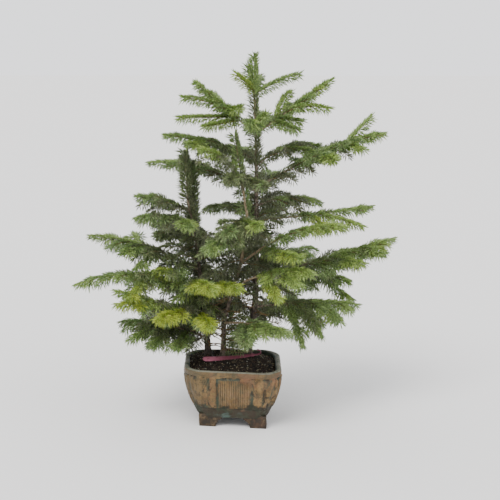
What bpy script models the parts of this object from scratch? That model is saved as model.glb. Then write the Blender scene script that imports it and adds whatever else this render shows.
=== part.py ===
"""A potted forest of three young spruces: a footed stoneware pot, a mound of soil, a plant tag,
three trunks, the main boughs, and one mass of needled shoots for each bough or leader."""

import math
import random

import bmesh
import bpy
from mathutils import Matrix, Vector
from mathutils.bvhtree import BVHTree

GAP = 0.0003  # clearance between neighbouring pieces
SPARE = 0.0006  # clearance between shoots of neighbouring masses
POT_AT = Vector((-0.0101, -0.0277, 0.0))  # middle of the pot, from the middle of the whole plant

# Pot: half length and half depth at the rim, then how the sides draw in on the way down.
POT_HALF = (0.072, 0.063)
POT_CORNER = 0.030
DEPTH_SHARE = 0.75  # the long sides draw in this much of what the ends do
# The hand-built plan is a little out of square: X per Y, and how Y widens towards +X, per metre.
PLAN_SKEW = -0.10
PLAN_TAPER = 1.1
OUTSIDE = (
    (0.0150, 0.0207),
    (0.0175, 0.0190),
    (0.0290, 0.0135),
    (0.0420, 0.0080),
    (0.0570, 0.0036),
    (0.0768, 0.0006),
    (0.0788, 0.0016),
    (0.0806, 0.0003),
    (0.0855, 0.0000),
    (0.0875, 0.0008),
    (0.0880, 0.0022),
)
INSIDE = ((0.0880, 0.0062), (0.0872, 0.0076), (0.0600, 0.0110), (0.0300, 0.0210), (0.0230, 0.0270))
FOOT_HIGH = 0.0190
FOOT_DEEP = 0.0260
FOOT_CORNER = (0.0500, 0.0465)
RIBS = 12
RIB_PANEL = (-0.0193, 0.0247)
RIB_HEIGHTS = (0.0300, 0.0440, 0.0600, 0.0752)
RIB_PROUD = (0.0004, 0.0016)

# Soil: a low mound, highest round the trunks.
SOIL_BOTTOM = 0.0234
SOIL_EDGE = 0.0810
SOIL_TOP = 0.0915
MOUND_AT = (-0.008, 0.016)
MOUND_HALF = (0.046, 0.026)

TAG_LENGTH = 0.074
TAG_WIDE = 0.0125
TAG_NARROW = 0.0060
TAG_THICK = 0.0014
TAG_AT = Vector((-0.0424, -0.0180, 0.0942))
TAG_TURN = math.radians(18.5)
TAG_LEAN = math.radians(20)

# Trunks: (height over the soil, X, Y) of the places where each changes its lean.
TRUNKS = {
    "tall": (
        (0.0, 0.020, 0.030),
        (0.052, 0.027, 0.029),
        (0.090, 0.032, 0.029),
        (0.152, 0.032, 0.028),
        (0.212, 0.033, 0.028),
        (0.271, 0.033, 0.028),
        (0.331, 0.032, 0.029),
        (0.385, 0.030, 0.030),
    ),
    "middle": (
        (0.0, -0.015, 0.011),
        (0.056, -0.013, 0.008),
        (0.081, -0.006, 0.006),
        (0.103, -0.001, 0.004),
        (0.138, 0.011, 0.000),
        (0.179, 0.018, -0.002),
        (0.216, 0.022, -0.004),
        (0.234, 0.019, -0.004),
        (0.270, 0.015, -0.005),
    ),
    "left": (
        (0.0, -0.039, 0.019),
        (0.030, -0.041, 0.017),
        (0.116, -0.049, 0.015),
        (0.156, -0.053, 0.012),
        (0.198, -0.058, 0.010),
        (0.218, -0.063, 0.009),
        (0.236, -0.066, 0.008),
    ),
}
GIRTH = {"tall": (0.0056, 0.0015), "middle": (0.0044, 0.0014), "left": (0.0047, 0.0017)}
FLARE = 0.0020
FLARE_HIGH = 0.0090

# Boughs: name, trunk, height on it, bearing in degrees, reach, rise, arch over the straight line,
# share that is bare wood, length of the side shoots.
BOUGHS = (
    ("tall_top", "tall", 0.385, 132, 0.001, 0.063, 0.0, 0.0, 0.020),
    ("tall_2_left", "tall", 0.331, -162, 0.092, 0.077, 0.0, 0.24, 0.034),
    ("tall_2_right", "tall", 0.331, 12, 0.116, 0.081, 0.0, 0.20, 0.034),
    ("tall_2_front", "tall", 0.334, -90, 0.096, 0.021, 0.0, 0.10, 0.026),
    ("tall_2_back", "tall", 0.331, 88, 0.100, 0.028, 0.0, 0.15, 0.034),
    ("tall_3_right", "tall", 0.285, 31, 0.113, 0.021, 0.016, 0.20, 0.026),
    ("tall_3_left", "tall", 0.294, -155, 0.142, 0.039, 0.006, 0.20, 0.030),
    ("tall_3_back", "tall", 0.291, 103, 0.126, 0.011, 0.0, 0.20, 0.040),
    ("tall_4_right", "tall", 0.250, 8, 0.193, 0.082, 0.012, 0.30, 0.046),
    ("tall_4_left", "tall", 0.247, 168, 0.175, 0.037, 0.014, 0.36, 0.034),
    ("tall_4_front", "tall", 0.253, -107, 0.115, 0.019, 0.012, 0.10, 0.030),
    ("tall_4_back", "tall", 0.252, 83, 0.153, 0.009, 0.0, 0.20, 0.044),
    ("tall_5_right", "tall", 0.225, 27, 0.109, -0.002, 0.011, 0.20, 0.026),
    ("tall_5_side", "tall", 0.206, -2, 0.174, 0.022, -0.003, 0.30, 0.036),
    ("tall_5_left", "tall", 0.213, 135, 0.131, -0.008, 0.009, 0.20, 0.040),
    ("tall_5_back", "tall", 0.210, 73, 0.173, 0.010, 0.0, 0.20, 0.046),
    ("tall_6_right", "tall", 0.116, 5, 0.210, 0.062, -0.001, 0.36, 0.046),
    ("tall_6_back", "tall", 0.141, 64, 0.181, -0.002, 0.0, 0.20, 0.050),
    ("tall_7_right", "tall", 0.072, 1, 0.159, 0.006, 0.006, 0.27, 0.050),
    ("tall_7_upper", "tall", 0.095, 23, 0.157, 0.007, 0.016, 0.25, 0.040),
    ("tall_7_back", "tall", 0.054, 67, 0.168, 0.011, 0.0, 0.20, 0.052),
    ("tall_7_left", "tall", 0.069, 140, 0.145, -0.010, 0.003, 0.30, 0.044),
    ("middle_top", "middle", 0.270, -175, 0.012, 0.067, 0.0, 0.0, 0.014),
    ("middle_1_left", "middle", 0.253, -130, 0.084, 0.059, 0.018, 0.15, 0.026),
    ("middle_2_front", "middle", 0.212, -102, 0.114, -0.011, 0.002, 0.10, 0.034),
    ("middle_2_left", "middle", 0.172, -109, 0.122, 0.009, 0.011, 0.15, 0.030),
    ("middle_right_high", "middle", 0.143, -14, 0.162, 0.061, 0.020, 0.18, 0.036),
    ("middle_right_mid", "middle", 0.107, -36, 0.150, 0.042, 0.011, 0.35, 0.034),
    ("middle_3_right", "middle", 0.052, -49, 0.154, 0.015, 0.005, 0.30, 0.036),
    ("middle_3_left", "middle", 0.059, -145, 0.178, 0.063, -0.003, 0.20, 0.032),
    ("middle_4_left", "middle", 0.065, -159, 0.225, 0.056, 0.035, 0.15, 0.038),
    ("left_top", "left", 0.236, -175, 0.004, 0.075, 0.0, 0.0, 0.014),
    ("left_twin", "left", 0.194, 102, 0.017, 0.101, 0.0, 0.20, 0.014),
    ("left_1_left", "left", 0.219, -158, 0.081, 0.025, 0.004, 0.12, 0.028),
    ("left_2_left", "left", 0.197, -139, 0.101, 0.019, 0.008, 0.15, 0.030),
    ("left_2_back", "left", 0.176, 127, 0.116, 0.012, 0.0, 0.20, 0.044),
    ("left_3_left", "left", 0.130, -165, 0.164, 0.057, 0.010, 0.30, 0.044),
    ("left_5_left", "left", 0.099, -132, 0.094, 0.041, 0.011, 0.15, 0.032),
    ("left_6_left", "left", 0.025, -168, 0.132, 0.029, 0.010, 0.19, 0.044),
    ("left_6_back", "left", 0.034, 134, 0.153, 0.023, 0.0, 0.20, 0.050),
)
# The boughs whose bare inner length is a piece of its own.
WOODY = (
    "tall_2_left",
    "tall_2_right",
    "tall_4_right",
    "tall_4_left",
    "tall_5_side",
    "tall_6_right",
    "tall_7_right",
    "tall_7_left",
    "middle_right_high",
    "middle_right_mid",
    "middle_3_right",
    "middle_4_left",
    "left_3_left",
    "left_6_left",
)
# Forks of a bough: share of its length, bearing, reach, rise, arch, length of the side shoots.
FORKS = {
    "tall_top": (
        (0.10, -145, 0.034, 0.028, 0.002, 0.008),
        (0.26, 136, 0.014, 0.031, 0.0, 0.006),
        (0.05, 7, 0.069, 0.030, 0.004, 0.010),
        (0.18, 85, 0.060, 0.018, 0.0, 0.008),
    ),
    "tall_2_left": (
        (0.42, -147, 0.078, 0.022, 0.005, 0.022),
        (0.33, -142, 0.099, 0.001, 0.0, 0.024),
        (0.27, -119, 0.091, -0.006, 0.0, 0.020),
        (0.44, -67, 0.065, 0.009, 0.0, 0.014),
        (0.51, 116, 0.053, 0.020, 0.0, 0.018),
    ),
    "tall_2_right": (
        (0.45, -23, 0.064, 0.0, 0.004, 0.020),
        (0.25, 52, 0.035, 0.039, 0.009, 0.014),
        (0.28, -51, 0.062, -0.002, 0.0, 0.018),
        (0.23, -62, 0.086, -0.009, 0.0, 0.014),
        (0.44, 97, 0.058, 0.006, 0.0, 0.014),
    ),
    "tall_2_front": ((0.29, -64, 0.046, 0.025, 0.0, 0.016),),
    "tall_3_right": ((0.42, -15, 0.048, -0.004, 0.0, 0.014),),
    "tall_3_left": ((0.45, -126, 0.062, 0.004, 0.0, 0.020),),
    "tall_4_right": (
        (0.68, 39, 0.051, 0.040, 0.0, 0.018),
        (0.66, -42, 0.040, -0.004, 0.0, 0.018),
        (0.47, -63, 0.062, -0.004, 0.0, 0.020),
        (0.33, 93, 0.072, -0.001, 0.0, 0.024),
    ),
    "tall_4_left": ((0.50, 123, 0.090, 0.004, 0.0, 0.020),),
    "tall_4_front": ((0.29, -65, 0.079, -0.002, 0.0, 0.020),),
    "tall_5_side": (
        (0.56, -16, 0.066, -0.016, 0.0, 0.020),
        (0.46, -66, 0.066, -0.014, 0.0, 0.022),
    ),
    "tall_6_right": (
        (0.67, -23, 0.058, 0.003, 0.0, 0.018),
        (0.53, -44, 0.073, 0.001, 0.0, 0.024),
    ),
    "tall_7_right": (
        (0.61, -51, 0.047, -0.021, 0.0, 0.024),
        (0.40, -53, 0.067, -0.040, 0.003, 0.026),
        (0.30, -58, 0.054, -0.057, 0.005, 0.024),
    ),
    "tall_7_upper": ((0.64, 8, 0.056, -0.039, -0.002, 0.022),),
    "middle_2_front": ((0.27, -62, 0.076, 0.005, 0.0, 0.024),),
    "middle_right_high": ((0.20, -55, 0.108, 0.004, -0.001, 0.024),),
    "middle_right_mid": (
        (0.40, -70, 0.082, -0.022, 0.002, 0.016),
        (0.60, -66, 0.068, -0.007, 0.0, 0.022),
    ),
    "middle_3_right": ((0.36, -85, 0.090, -0.008, 0.0, 0.020),),
    "middle_3_left": (
        (0.59, -134, 0.078, 0.011, 0.0, 0.022),
        (0.31, -108, 0.110, 0.012, 0.003, 0.026),
        (0.24, -74, 0.124, 0.010, 0.0, 0.020),
    ),
    "middle_4_left": (
        (0.26, -65, 0.135, 0.023, 0.011, 0.024),
        (0.17, -55, 0.129, 0.034, 0.012, 0.020),
        (0.50, -106, 0.071, -0.017, 0.0, 0.020),
    ),
    "left_2_left": ((0.25, -70, 0.088, 0.004, 0.0, 0.020),),
    "left_3_left": (
        (0.45, -122, 0.064, 0.003, 0.0, 0.020),
        (0.36, -114, 0.066, -0.015, 0.0, 0.024),
        (0.53, 117, 0.034, 0.014, 0.0, 0.022),
    ),
    "left_6_left": (
        (0.55, -126, 0.056, -0.014, 0.0, 0.024),
        (0.36, -113, 0.068, -0.014, 0.0, 0.026),
        (0.21, -95, 0.079, -0.006, 0.0, 0.022),
    ),
}

BOUGH_SIDES = 6
BOUGH_STEPS = 3
STEEP_REACH = 0.0135  # a fork that reaches out more than this and rises twice as far is steep
BARE_START = 0.010
THIN_TIP = 0.0006
TOOTH_PITCH = 0.0150
LEADER_PITCH = 0.0085
SHOOT_TOOTH = 0.0170
NEEDLE = (0.0085, 0.0115)  # reach of the needles at the top and near the soil
SHOOT_PITCH = 0.046
SHORT_SIDE = 0.022  # a limb with shorter side shoots than this has none in the solid
PAIRED_SIDE = 0.033  # side shoots longer than this stand in pairs
SHOOT_ANGLE = math.radians(50)
CROWN_HIGH = 0.45

CLAY = (0.25, 0.17, 0.11)
EARTH = (0.03, 0.025, 0.02)
PINK = (0.36, 0.06, 0.13)
BARK = (0.075, 0.055, 0.045)
YOUNG_BARK = (0.22, 0.14, 0.08)
GREENS = ((0.05, 0.12, 0.04), (0.08, 0.19, 0.05), (0.14, 0.26, 0.05))

taken = []


def clear_scene():
    for item in list(bpy.data.objects):
        bpy.data.objects.remove(item, do_unlink=True)


def painted(name, colour, roughness):
    material = bpy.data.materials.new(name)
    material.use_nodes = True
    shader = material.node_tree.nodes["Principled BSDF"]
    shader.inputs["Base Color"].default_value = (*colour, 1.0)
    shader.inputs["Roughness"].default_value = roughness
    return material


def piece(name, verts, faces, colour=CLAY, roughness=0.8, smooth=False):
    """A mesh object with outward faces, standing at its place in the plant."""
    mesh = bpy.data.meshes.new(name)
    mesh.from_pydata([tuple(Vector(v) + POT_AT) for v in verts], [], faces)
    work = bmesh.new()
    work.from_mesh(mesh)
    bmesh.ops.recalc_face_normals(work, faces=work.faces)
    work.to_mesh(mesh)
    work.free()
    mesh.shade_smooth() if smooth else mesh.shade_flat()
    mesh.materials.append(painted(name, colour, roughness))
    item = bpy.data.objects.new(name, mesh)
    bpy.context.scene.collection.objects.link(item)
    return item


def largest_shell(mesh):
    """Keeps the outer skin of the biggest connected body."""
    work = bmesh.new()
    work.from_mesh(mesh)
    bmesh.ops.triangulate(work, faces=work.faces)
    unseen = set(work.faces)
    shells = []
    while unseen:
        queue = [unseen.pop()]
        shell = set(queue)
        while queue:
            for edge in queue.pop().edges:
                for face in edge.link_faces:
                    if face in unseen:
                        unseen.discard(face)
                        shell.add(face)
                        queue.append(face)
        shells.append(shell)
    size = {}
    for index, shell in enumerate(shells):
        size[index] = sum(
            f.verts[0].co.dot(f.verts[1].co.cross(f.verts[2].co)) / 6.0 for f in shell
        )
    best = max(size, key=size.get)
    loose = [f for index, shell in enumerate(shells) if index != best for f in shell]
    bmesh.ops.delete(work, geom=loose, context="FACES")
    work.to_mesh(mesh)
    work.free()


def union_of(item, group, solver):
    """The item's mesh joined with every shape of the collection."""
    union = item.modifiers.new("union", "BOOLEAN")
    union.operation = "UNION"
    union.operand_type = "COLLECTION"
    union.collection = group
    union.solver = solver
    graph = bpy.context.evaluated_depsgraph_get()
    whole = bpy.data.meshes.new_from_object(item.evaluated_get(graph))
    item.modifiers.clear()
    return whole


def is_closed(mesh):
    uses = {}
    for face in mesh.polygons:
        for edge in face.edge_keys:
            uses[edge] = uses.get(edge, 0) + 1
    return all(count == 2 for count in uses.values())


def fused(item, shapes):
    """Joins the shapes to the item with one union over their collection."""
    group = bpy.data.collections.new(item.name + "_shapes")
    bpy.context.scene.collection.children.link(group)
    for number, (verts, faces) in enumerate(shapes):
        part = piece(f"{item.name}_{number}", verts, faces)
        bpy.context.scene.collection.objects.unlink(part)
        group.objects.link(part)
    material = item.data.materials[0]
    whole = union_of(item, group, "EXACT")
    if not is_closed(whole):
        whole = union_of(item, group, "MANIFOLD")
    item.data = whole
    whole.materials.clear()
    whole.materials.append(material)
    for part in list(group.objects):
        bpy.data.objects.remove(part, do_unlink=True)
    bpy.data.collections.remove(group)
    largest_shell(whole)


def lofted(rings, cap_start=True, cap_end=True):
    """Faces that join rings of equally many points, with flat caps."""
    count = len(rings[0])
    verts = [p for ring in rings for p in ring]
    faces = []
    for level in range(len(rings) - 1):
        for i in range(count):
            a = level * count + i
            b = level * count + (i + 1) % count
            faces.append((a, b, b + count, a + count))
    if cap_start:
        faces.append(tuple(range(count)))
    if cap_end:
        faces.append(tuple(range(len(verts) - count, len(verts))))
    return verts, faces


def in_plan(x, y, height):
    """A place of the squared plan, moved to where the hand-built pot has it."""
    return x + PLAN_SKEW * y, y * (1 + PLAN_TAPER * x), height


def rounded_ring(height, inset, back=0.0):
    """A rounded rectangle at one height of the pot, drawn in by the inset."""
    half_x = POT_HALF[0] - inset - back
    half_y = POT_HALF[1] - inset * DEPTH_SHARE - back
    corner = max(POT_CORNER - inset * 0.35 - back, 0.012)
    ring = []
    for quarter in range(4):
        for step in range(5):
            angle = math.radians(90 * quarter + 22.5 * step)
            x = (half_x - corner) * (1 if quarter in (0, 3) else -1) + corner * math.cos(angle)
            y = (half_y - corner) * (1 if quarter < 2 else -1) + corner * math.sin(angle)
            ring.append(in_plan(x, y, height))
    return ring


def inset_at(height, profile=OUTSIDE):
    for (low, a), (high, b) in zip(profile, profile[1:]):
        if low <= height <= high:
            return a + (b - a) * (height - low) / (high - low)
    return profile[-1][1]


def foot(side, end):
    """A corner foot: flat underside, curved inner edge towards the arch between the feet."""
    outline = [(0.0, 0.0), (0.0, FOOT_HIGH), (0.036, FOOT_HIGH), (0.035, 0.0135)]
    outline += [(0.0285, 0.0085), (0.0255, 0.0040), (0.0245, 0.0)]
    rings = []
    for depth in (0.0, FOOT_DEEP):
        ring = []
        for inward, height in outline:
            x = side * (FOOT_CORNER[0] - inward)
            y = end * (FOOT_CORNER[1] - depth)
            ring.append(in_plan(x, y, height))
        rings.append(ring)
    return lofted(rings)


def rib_panel():
    """The ribbed field on the front: crests and grooves that follow the wall."""
    columns = 2 * RIBS + 1
    verts = []
    for height in RIB_HEIGHTS:
        wall = POT_HALF[1] - inset_at(height) * DEPTH_SHARE
        for i in range(columns):
            across = RIB_PANEL[0] + (RIB_PANEL[1] - RIB_PANEL[0]) * i / (columns - 1)
            verts.append(in_plan(across, -wall - RIB_PROUD[i % 2], height))
    front = len(verts)
    for height in RIB_HEIGHTS:
        wall = POT_HALF[1] - inset_at(height) * DEPTH_SHARE
        for across in RIB_PANEL:
            verts.append(in_plan(across, -wall + 0.002, height))
    faces = []
    rows = len(RIB_HEIGHTS)
    for row in range(rows - 1):
        for i in range(columns - 1):
            a = row * columns + i
            faces.append((a, a + 1, a + 1 + columns, a + columns))
        b = front + row * 2
        faces.append((b, b + 2, b + 3, b + 1))
        faces.append((row * columns, (row + 1) * columns, b + 2, b))
        end = row * columns + columns - 1
        faces.append((end, b + 1, b + 3, end + columns))
    faces.append(tuple(range(columns)) + (front + 1, front))
    top = (rows - 1) * columns
    faces.append(tuple(range(top, top + columns)) + (front + 2 * rows - 1, front + 2 * rows - 2))
    return verts, faces


def build_pot():
    rings = [rounded_ring(z, inset) for z, inset in OUTSIDE]
    rings += [rounded_ring(z, inset) for z, inset in INSIDE]
    verts, faces = lofted(rings)
    pot = piece("pot", verts, faces, CLAY, 0.55, smooth=True)
    claim("pot", (verts, faces))
    shapes = [foot(side, end) for side in (-1, 1) for end in (-1, 1)]
    shapes.append(rib_panel())
    fused(pot, shapes)
    return pot


def build_soil():
    low = rounded_ring(SOIL_BOTTOM, INSIDE[-1][1], GAP + 0.0001)
    rings = [low]
    for height in (0.0300, 0.0600, SOIL_EDGE):
        rings.append(rounded_ring(height, inset_at(height, tuple(reversed(INSIDE))), GAP + 0.0001))
    mound = []
    for x, y, _ in rings[-1]:
        angle = math.atan2(y / POT_HALF[1], x / POT_HALF[0])
        mound.append(
            (
                MOUND_AT[0] + MOUND_HALF[0] * math.cos(angle),
                MOUND_AT[1] + MOUND_HALF[1] * math.sin(angle),
                SOIL_TOP,
            )
        )
    middle = []
    for edge, crest in zip(rings[-1], mound):
        p = Vector(edge).lerp(Vector(crest), 0.5)
        p.z = SOIL_EDGE + (SOIL_TOP - SOIL_EDGE) * 0.72
        middle.append(tuple(p))
    rings += [middle, mound]
    verts, faces = lofted(rings)
    piece("soil", verts, faces, EARTH, 0.95)
    claim("soil", (verts, faces))


def build_tag():
    """A slip-on plant label: rounded wide end, narrowing to a strap that curls up."""
    outline = []
    for step in range(7):
        angle = math.radians(90 + 30 * step)
        half = TAG_WIDE / 2
        outline.append((half + half * math.cos(angle), half * math.sin(angle)))
    outline += [(TAG_LENGTH, -TAG_NARROW / 2), (TAG_LENGTH, TAG_NARROW / 2)]
    turn = Matrix.Rotation(TAG_TURN, 3, "Z") @ Matrix.Rotation(TAG_LEAN, 3, "X")

    def placed(p):
        return TAG_AT + turn @ Vector(p)

    rings = []
    for side in (-0.5, 0.5):
        rings.append([placed((x, y, side * TAG_THICK)) for x, y in outline])
    tag = piece("plant_tag", *lofted(rings), PINK, 0.45)
    strap = []
    for step in range(7):
        angle = math.radians(-90 + 28 * step)
        x = TAG_LENGTH + 0.0040 + 0.0075 * math.cos(angle)
        z = 0.0045 + 0.0045 * math.sin(angle)
        if step == 0:
            x = TAG_LENGTH - 0.006
        thick = 0.0005
        out = Vector((math.cos(angle), 0.0, math.sin(angle))) * thick
        ring = []
        for y, way in ((-1, -1), (1, -1), (1, 1), (-1, 1)):
            ring.append(placed(Vector((x, y * 0.0018, z)) + out * way))
        strap.append(ring)
    fused(tag, [lofted(strap)])
    for strip in (rings, strap):
        claim("plant_tag", lofted(strip))


def shell_of(verts, faces):
    """The box and the search tree of a shape, for telling whether another touches it."""
    points = [Vector(v) for v in verts]
    low = Vector([min(p[i] for p in points) for i in range(3)])
    high = Vector([max(p[i] for p in points) for i in range(3)])
    return low, high, BVHTree.FromPolygons(points, faces)


def is_taken(shape, owner):
    """Whether a shape touches any piece but its owner."""
    low, high, tree = shell_of(*shape)
    for name, other_low, other_high, other in taken:
        if name == owner:
            continue
        if any(low[i] > other_high[i] or high[i] < other_low[i] for i in range(3)):
            continue
        if tree.overlap(other):
            return True
    return False


def trunk_at(name, height):
    """Centre of a trunk at a height over the soil, on a smooth curve through its stations."""
    stations = TRUNKS[name]
    height = min(max(height, 0.0), stations[-1][0])
    last = len(stations) - 1
    for i in range(last):
        if height <= stations[i + 1][0] or i == last - 1:
            a, b = stations[i], stations[i + 1]
            before = stations[max(i - 1, 0)]
            after = stations[min(i + 2, last)]
            span = b[0] - a[0]
            t = (height - a[0]) / span
            spot = []
            for axis in (1, 2):
                slope_a = (b[axis] - before[axis]) / (b[0] - before[0]) * span
                slope_b = (after[axis] - a[axis]) / (after[0] - a[0]) * span
                spot.append(
                    (2 * t**3 - 3 * t**2 + 1) * a[axis]
                    + (t**3 - 2 * t**2 + t) * slope_a
                    + (3 * t**2 - 2 * t**3) * b[axis]
                    + (t**3 - t**2) * slope_b
                )
            return Vector((spot[0], spot[1], SOIL_TOP + GAP + height))


def trunk_radius(name, height):
    base, tip = GIRTH[name]
    share = height / TRUNKS[name][-1][0]
    return base + (tip - base) * share**0.85 + FLARE * math.exp(-height / FLARE_HIGH)


def build_trunk(name):
    high = TRUNKS[name][-1][0]
    heights = [0.0, 0.005, 0.012, 0.024]
    count = round((high - 0.024) / 0.026)
    heights += [0.024 + (high - 0.024) * (i + 1) / count for i in range(count)]
    rings = []
    for height in heights:
        centre = trunk_at(name, height)
        radius = trunk_radius(name, height)
        ring = []
        for side in range(8):
            angle = math.tau * side / 8
            ring.append(centre + radius * Vector((math.cos(angle), math.sin(angle), 0.0)))
        rings.append(ring)
    verts, faces = lofted(rings)
    piece("trunk_" + name, verts, faces, BARK, 0.9, smooth=True)
    claim("trunk_" + name, (verts, faces))


def line_of(start, bearing, reach, rise, arch):
    """A limb's centre line as a function of its share of length. A steep fork leaves sideways
    and then turns up beside its leader."""
    angle = math.radians(bearing)
    out = Vector((math.cos(angle), math.sin(angle), 0.0))
    steep = STEEP_REACH < reach < rise / 2

    def at(t):
        away = 1 - (1 - t) ** 3 if steep else t
        return start + out * (reach * away) + Vector((0, 0, rise * t + arch * 4 * t * (1 - t)))

    return at


def heading(at, t, step=0.02):
    return (at(t + step) - at(t - step)).normalized()


def length_of(at, a=0.0, b=1.0):
    marks = [at(a + (b - a) * i / 12) for i in range(13)]
    return sum((q - p).length for p, q in zip(marks, marks[1:]))


def blade(points, radii, reaches, roll, swell=0.0, brush=False):
    """A slim core that tapers to a point, with a pair of teeth on each length that has needles.
    A brush turns every second pair upright."""
    verts, faces = [], []
    count = len(points)
    frames = []
    for i, point in enumerate(points):
        ahead = (points[min(i + 1, count - 1)] - points[max(i - 1, 0)]).normalized()
        up = Vector((0, 0, 1)) if abs(ahead.z) < 0.9 else Vector((0, 1, 0))
        side = ahead.cross(up).normalized()
        side = Matrix.Rotation(roll, 3, ahead) @ side
        over = side.cross(ahead).normalized()
        frames.append((ahead, (-side, over, side, -over)))
    for i in range(count - 1):
        verts += [points[i] + way * (radii[i] + swell) for way in frames[i][1]]
    apex = len(verts)
    verts.append(points[-1] + frames[-1][0] * swell * 2)
    faces.append((0, 1, 2, 3))
    for i in range(count - 1):
        ahead, ways = frames[i]
        last = i == count - 2
        turn = i % 2 if brush else 0
        tips = {turn: len(verts), turn + 2: len(verts) + 1}
        for k in range(4):
            near = (k, (k + 1) % 4)
            root = [4 * i + corner for corner in near]
            end = [apex, apex] if last else [corner + 4 for corner in root]
            if reaches[i] <= 0:
                faces.append((root[0], root[1], apex) if last else (root[0], root[1], end[1], end[0]))
                continue
            edge = 0 if near[0] in tips else 1
            tip = tips[near[edge]]
            faces.append((root[1 - edge], root[edge], tip))
            faces.append((root[1 - edge], tip, end[1 - edge]))
            if not last:
                faces.append((end[1 - edge], tip, end[edge]))
        if reaches[i] > 0:
            middle = points[i].lerp(points[i + 1], 0.55)
            reach = reaches[i] + swell
            for k in tips:
                droop = ways[3] * reach * (0.12 if turn == 0 else 0.0)
                verts.append(middle + ways[k] * reach + ahead * reach * 0.62 + droop)
    return verts, faces


def needle_reach(point):
    share = min(max((point.z - SOIL_TOP) / CROWN_HIGH, 0.0), 1.0)
    return NEEDLE[1] + (NEEDLE[0] - NEEDLE[1]) * share


def shoot(at, start, end, thick, roll, seed, bare=0.0, tooth=TOOTH_PITCH, brush=False, swell=0.0):
    """A needled shoot along a centre line, with no needles on its bare share."""
    rng = random.Random(seed)
    count = max(3, round(length_of(at, start, end) / tooth))
    points = [at(start + (end - start) * i / count) for i in range(count + 1)]
    radii = [thick + (THIN_TIP - thick) * i / count for i in range(count)]
    reaches = []
    for i in range(count):
        reach = needle_reach(points[i]) * rng.uniform(0.88, 1.12)
        if i == count - 1:
            reach *= 0.72
        reaches.append(0.0 if i / count < bare else reach)
    return blade(points, radii, reaches, roll, swell, brush)


def tube(at, start, end, thick, thin, swell=0.0):
    """A bare tapering length of a bough."""
    rings = []
    for i in range(BOUGH_STEPS + 1):
        t = start + (end - start) * i / BOUGH_STEPS
        ahead = heading(at, t)
        side = ahead.cross(Vector((0, 0, 1))).normalized()
        over = side.cross(ahead)
        radius = thick + (thin - thick) * i / BOUGH_STEPS + swell
        ring = []
        for k in range(BOUGH_SIDES):
            angle = math.tau * k / BOUGH_SIDES
            ring.append(at(t) + (side * math.cos(angle) + over * math.sin(angle)) * radius)
        rings.append(ring)
    return lofted(rings)


def seated(make, at, trunk, height):
    """The share of a centre line at which its limb stands just clear of the trunk."""
    long = length_of(at)
    if height >= TRUNKS[trunk][-1][0]:
        return GAP / long
    bark = next(tree for name, low, high, tree in taken if name == "trunk_" + trunk)
    start = 0.5 * trunk_radius(trunk, height) / long
    while shell_of(*make(start - GAP / long, GAP))[2].overlap(bark):
        start += 0.5 * GAP / long
    return start


def claim(name, shape):
    taken.append((name, *shell_of(*shape)))


def build_limbs():
    """The bare inner lengths, then one stem for each mass. Returns each stem and its shape."""
    stems = {}
    shapes = {}
    for name, trunk, height, bearing, reach, rise, arch, bare, spread in BOUGHS:
        at = line_of(trunk_at(trunk, height), bearing, reach, rise, arch)
        thick = min(0.0009 + 0.0065 * length_of(at), trunk_radius(trunk, height) * 0.8)
        if name in WOODY:
            slim = thick * (1 - 0.6 * bare)
            start = seated(lambda t, swell: tube(at, t, bare, thick, slim, swell), at, trunk, height)
            wood = tube(at, start, bare, thick, slim)
            piece("bough_" + name, *wood, BARK, 0.9, smooth=True)
            claim("bough_" + name, wood)
            thick = slim
        stems[name] = (at, bare, spread, thick)
    for name, trunk, height, bearing, reach, rise, arch, bare, spread in BOUGHS:
        at, bare, spread, thick = stems[name]
        leader = name.endswith(("_top", "_twin"))
        tooth = LEADER_PITCH if leader else TOOTH_PITCH
        worn = BARE_START / length_of(at) + (0.0 if name in WOODY else bare)

        def stem(start, swell=0.0):
            worn_share = 0.0 if leader else worn
            return shoot(at, start, 1.0, thick, 0.0, name, worn_share, tooth, True, swell)

        start = bare + GAP / length_of(at) if name in WOODY else seated(stem, at, trunk, height)
        shapes[name] = [stem(start)]
        claim("foliage_" + name, shapes[name][0])
    return stems, shapes


def grown(name, shapes, variants):
    """Adds the first variant of a shoot that keeps clear of every other piece."""
    for make in variants:
        if not is_taken(make(swell=SPARE), "foliage_" + name):
            shape = make(swell=0.0)
            shapes[name].append(shape)
            claim("foliage_" + name, shape)
            return make
    return None


def fork_variants(root, bearing, reach, rise, arch, thick, seed):
    """The fork at its full length, then shorter and shorter."""
    for cut in (1.0, 0.9, 0.8, 0.7, 0.6, 0.5):
        line = line_of(root, bearing, reach * cut, rise * cut, arch * cut)
        girth = min(0.0008 + 0.006 * length_of(line), thick * 0.8)

        def make(swell, line=line, girth=girth):
            return shoot(line, 0.0, 1.0, girth, 0.3, seed, 0.1, TOOTH_PITCH, True, swell)

        make.line = line
        make.girth = girth
        yield make


def side_variants(at, t, way, long, thick, seed):
    """A side shoot at several slants, the flattest first."""
    rng = random.Random(seed)
    ahead = heading(at, t)
    up = Vector((0, 0, 1)) if abs(ahead.z) < 0.9 else Vector((0, 1, 0))
    across = ahead.cross(up).normalized() * way
    root = at(t)
    for lift in (0.08, -0.15, 0.35, -0.40):
        aim = ahead * math.cos(SHOOT_ANGLE) + across * math.sin(SHOOT_ANGLE)
        aim = (aim + up * (lift + rng.uniform(-0.06, 0.06))).normalized()
        tilt = rng.uniform(-0.7, 0.7)

        def line(s, aim=aim):
            return root + aim * (long * s) + ahead * (long * 0.12 * s * s)

        def make(swell, line=line, tilt=tilt):
            return shoot(line, 0.0, 1.0, thick, tilt, seed, 0.1, SHOOT_TOOTH, False, swell)

        yield make


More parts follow.
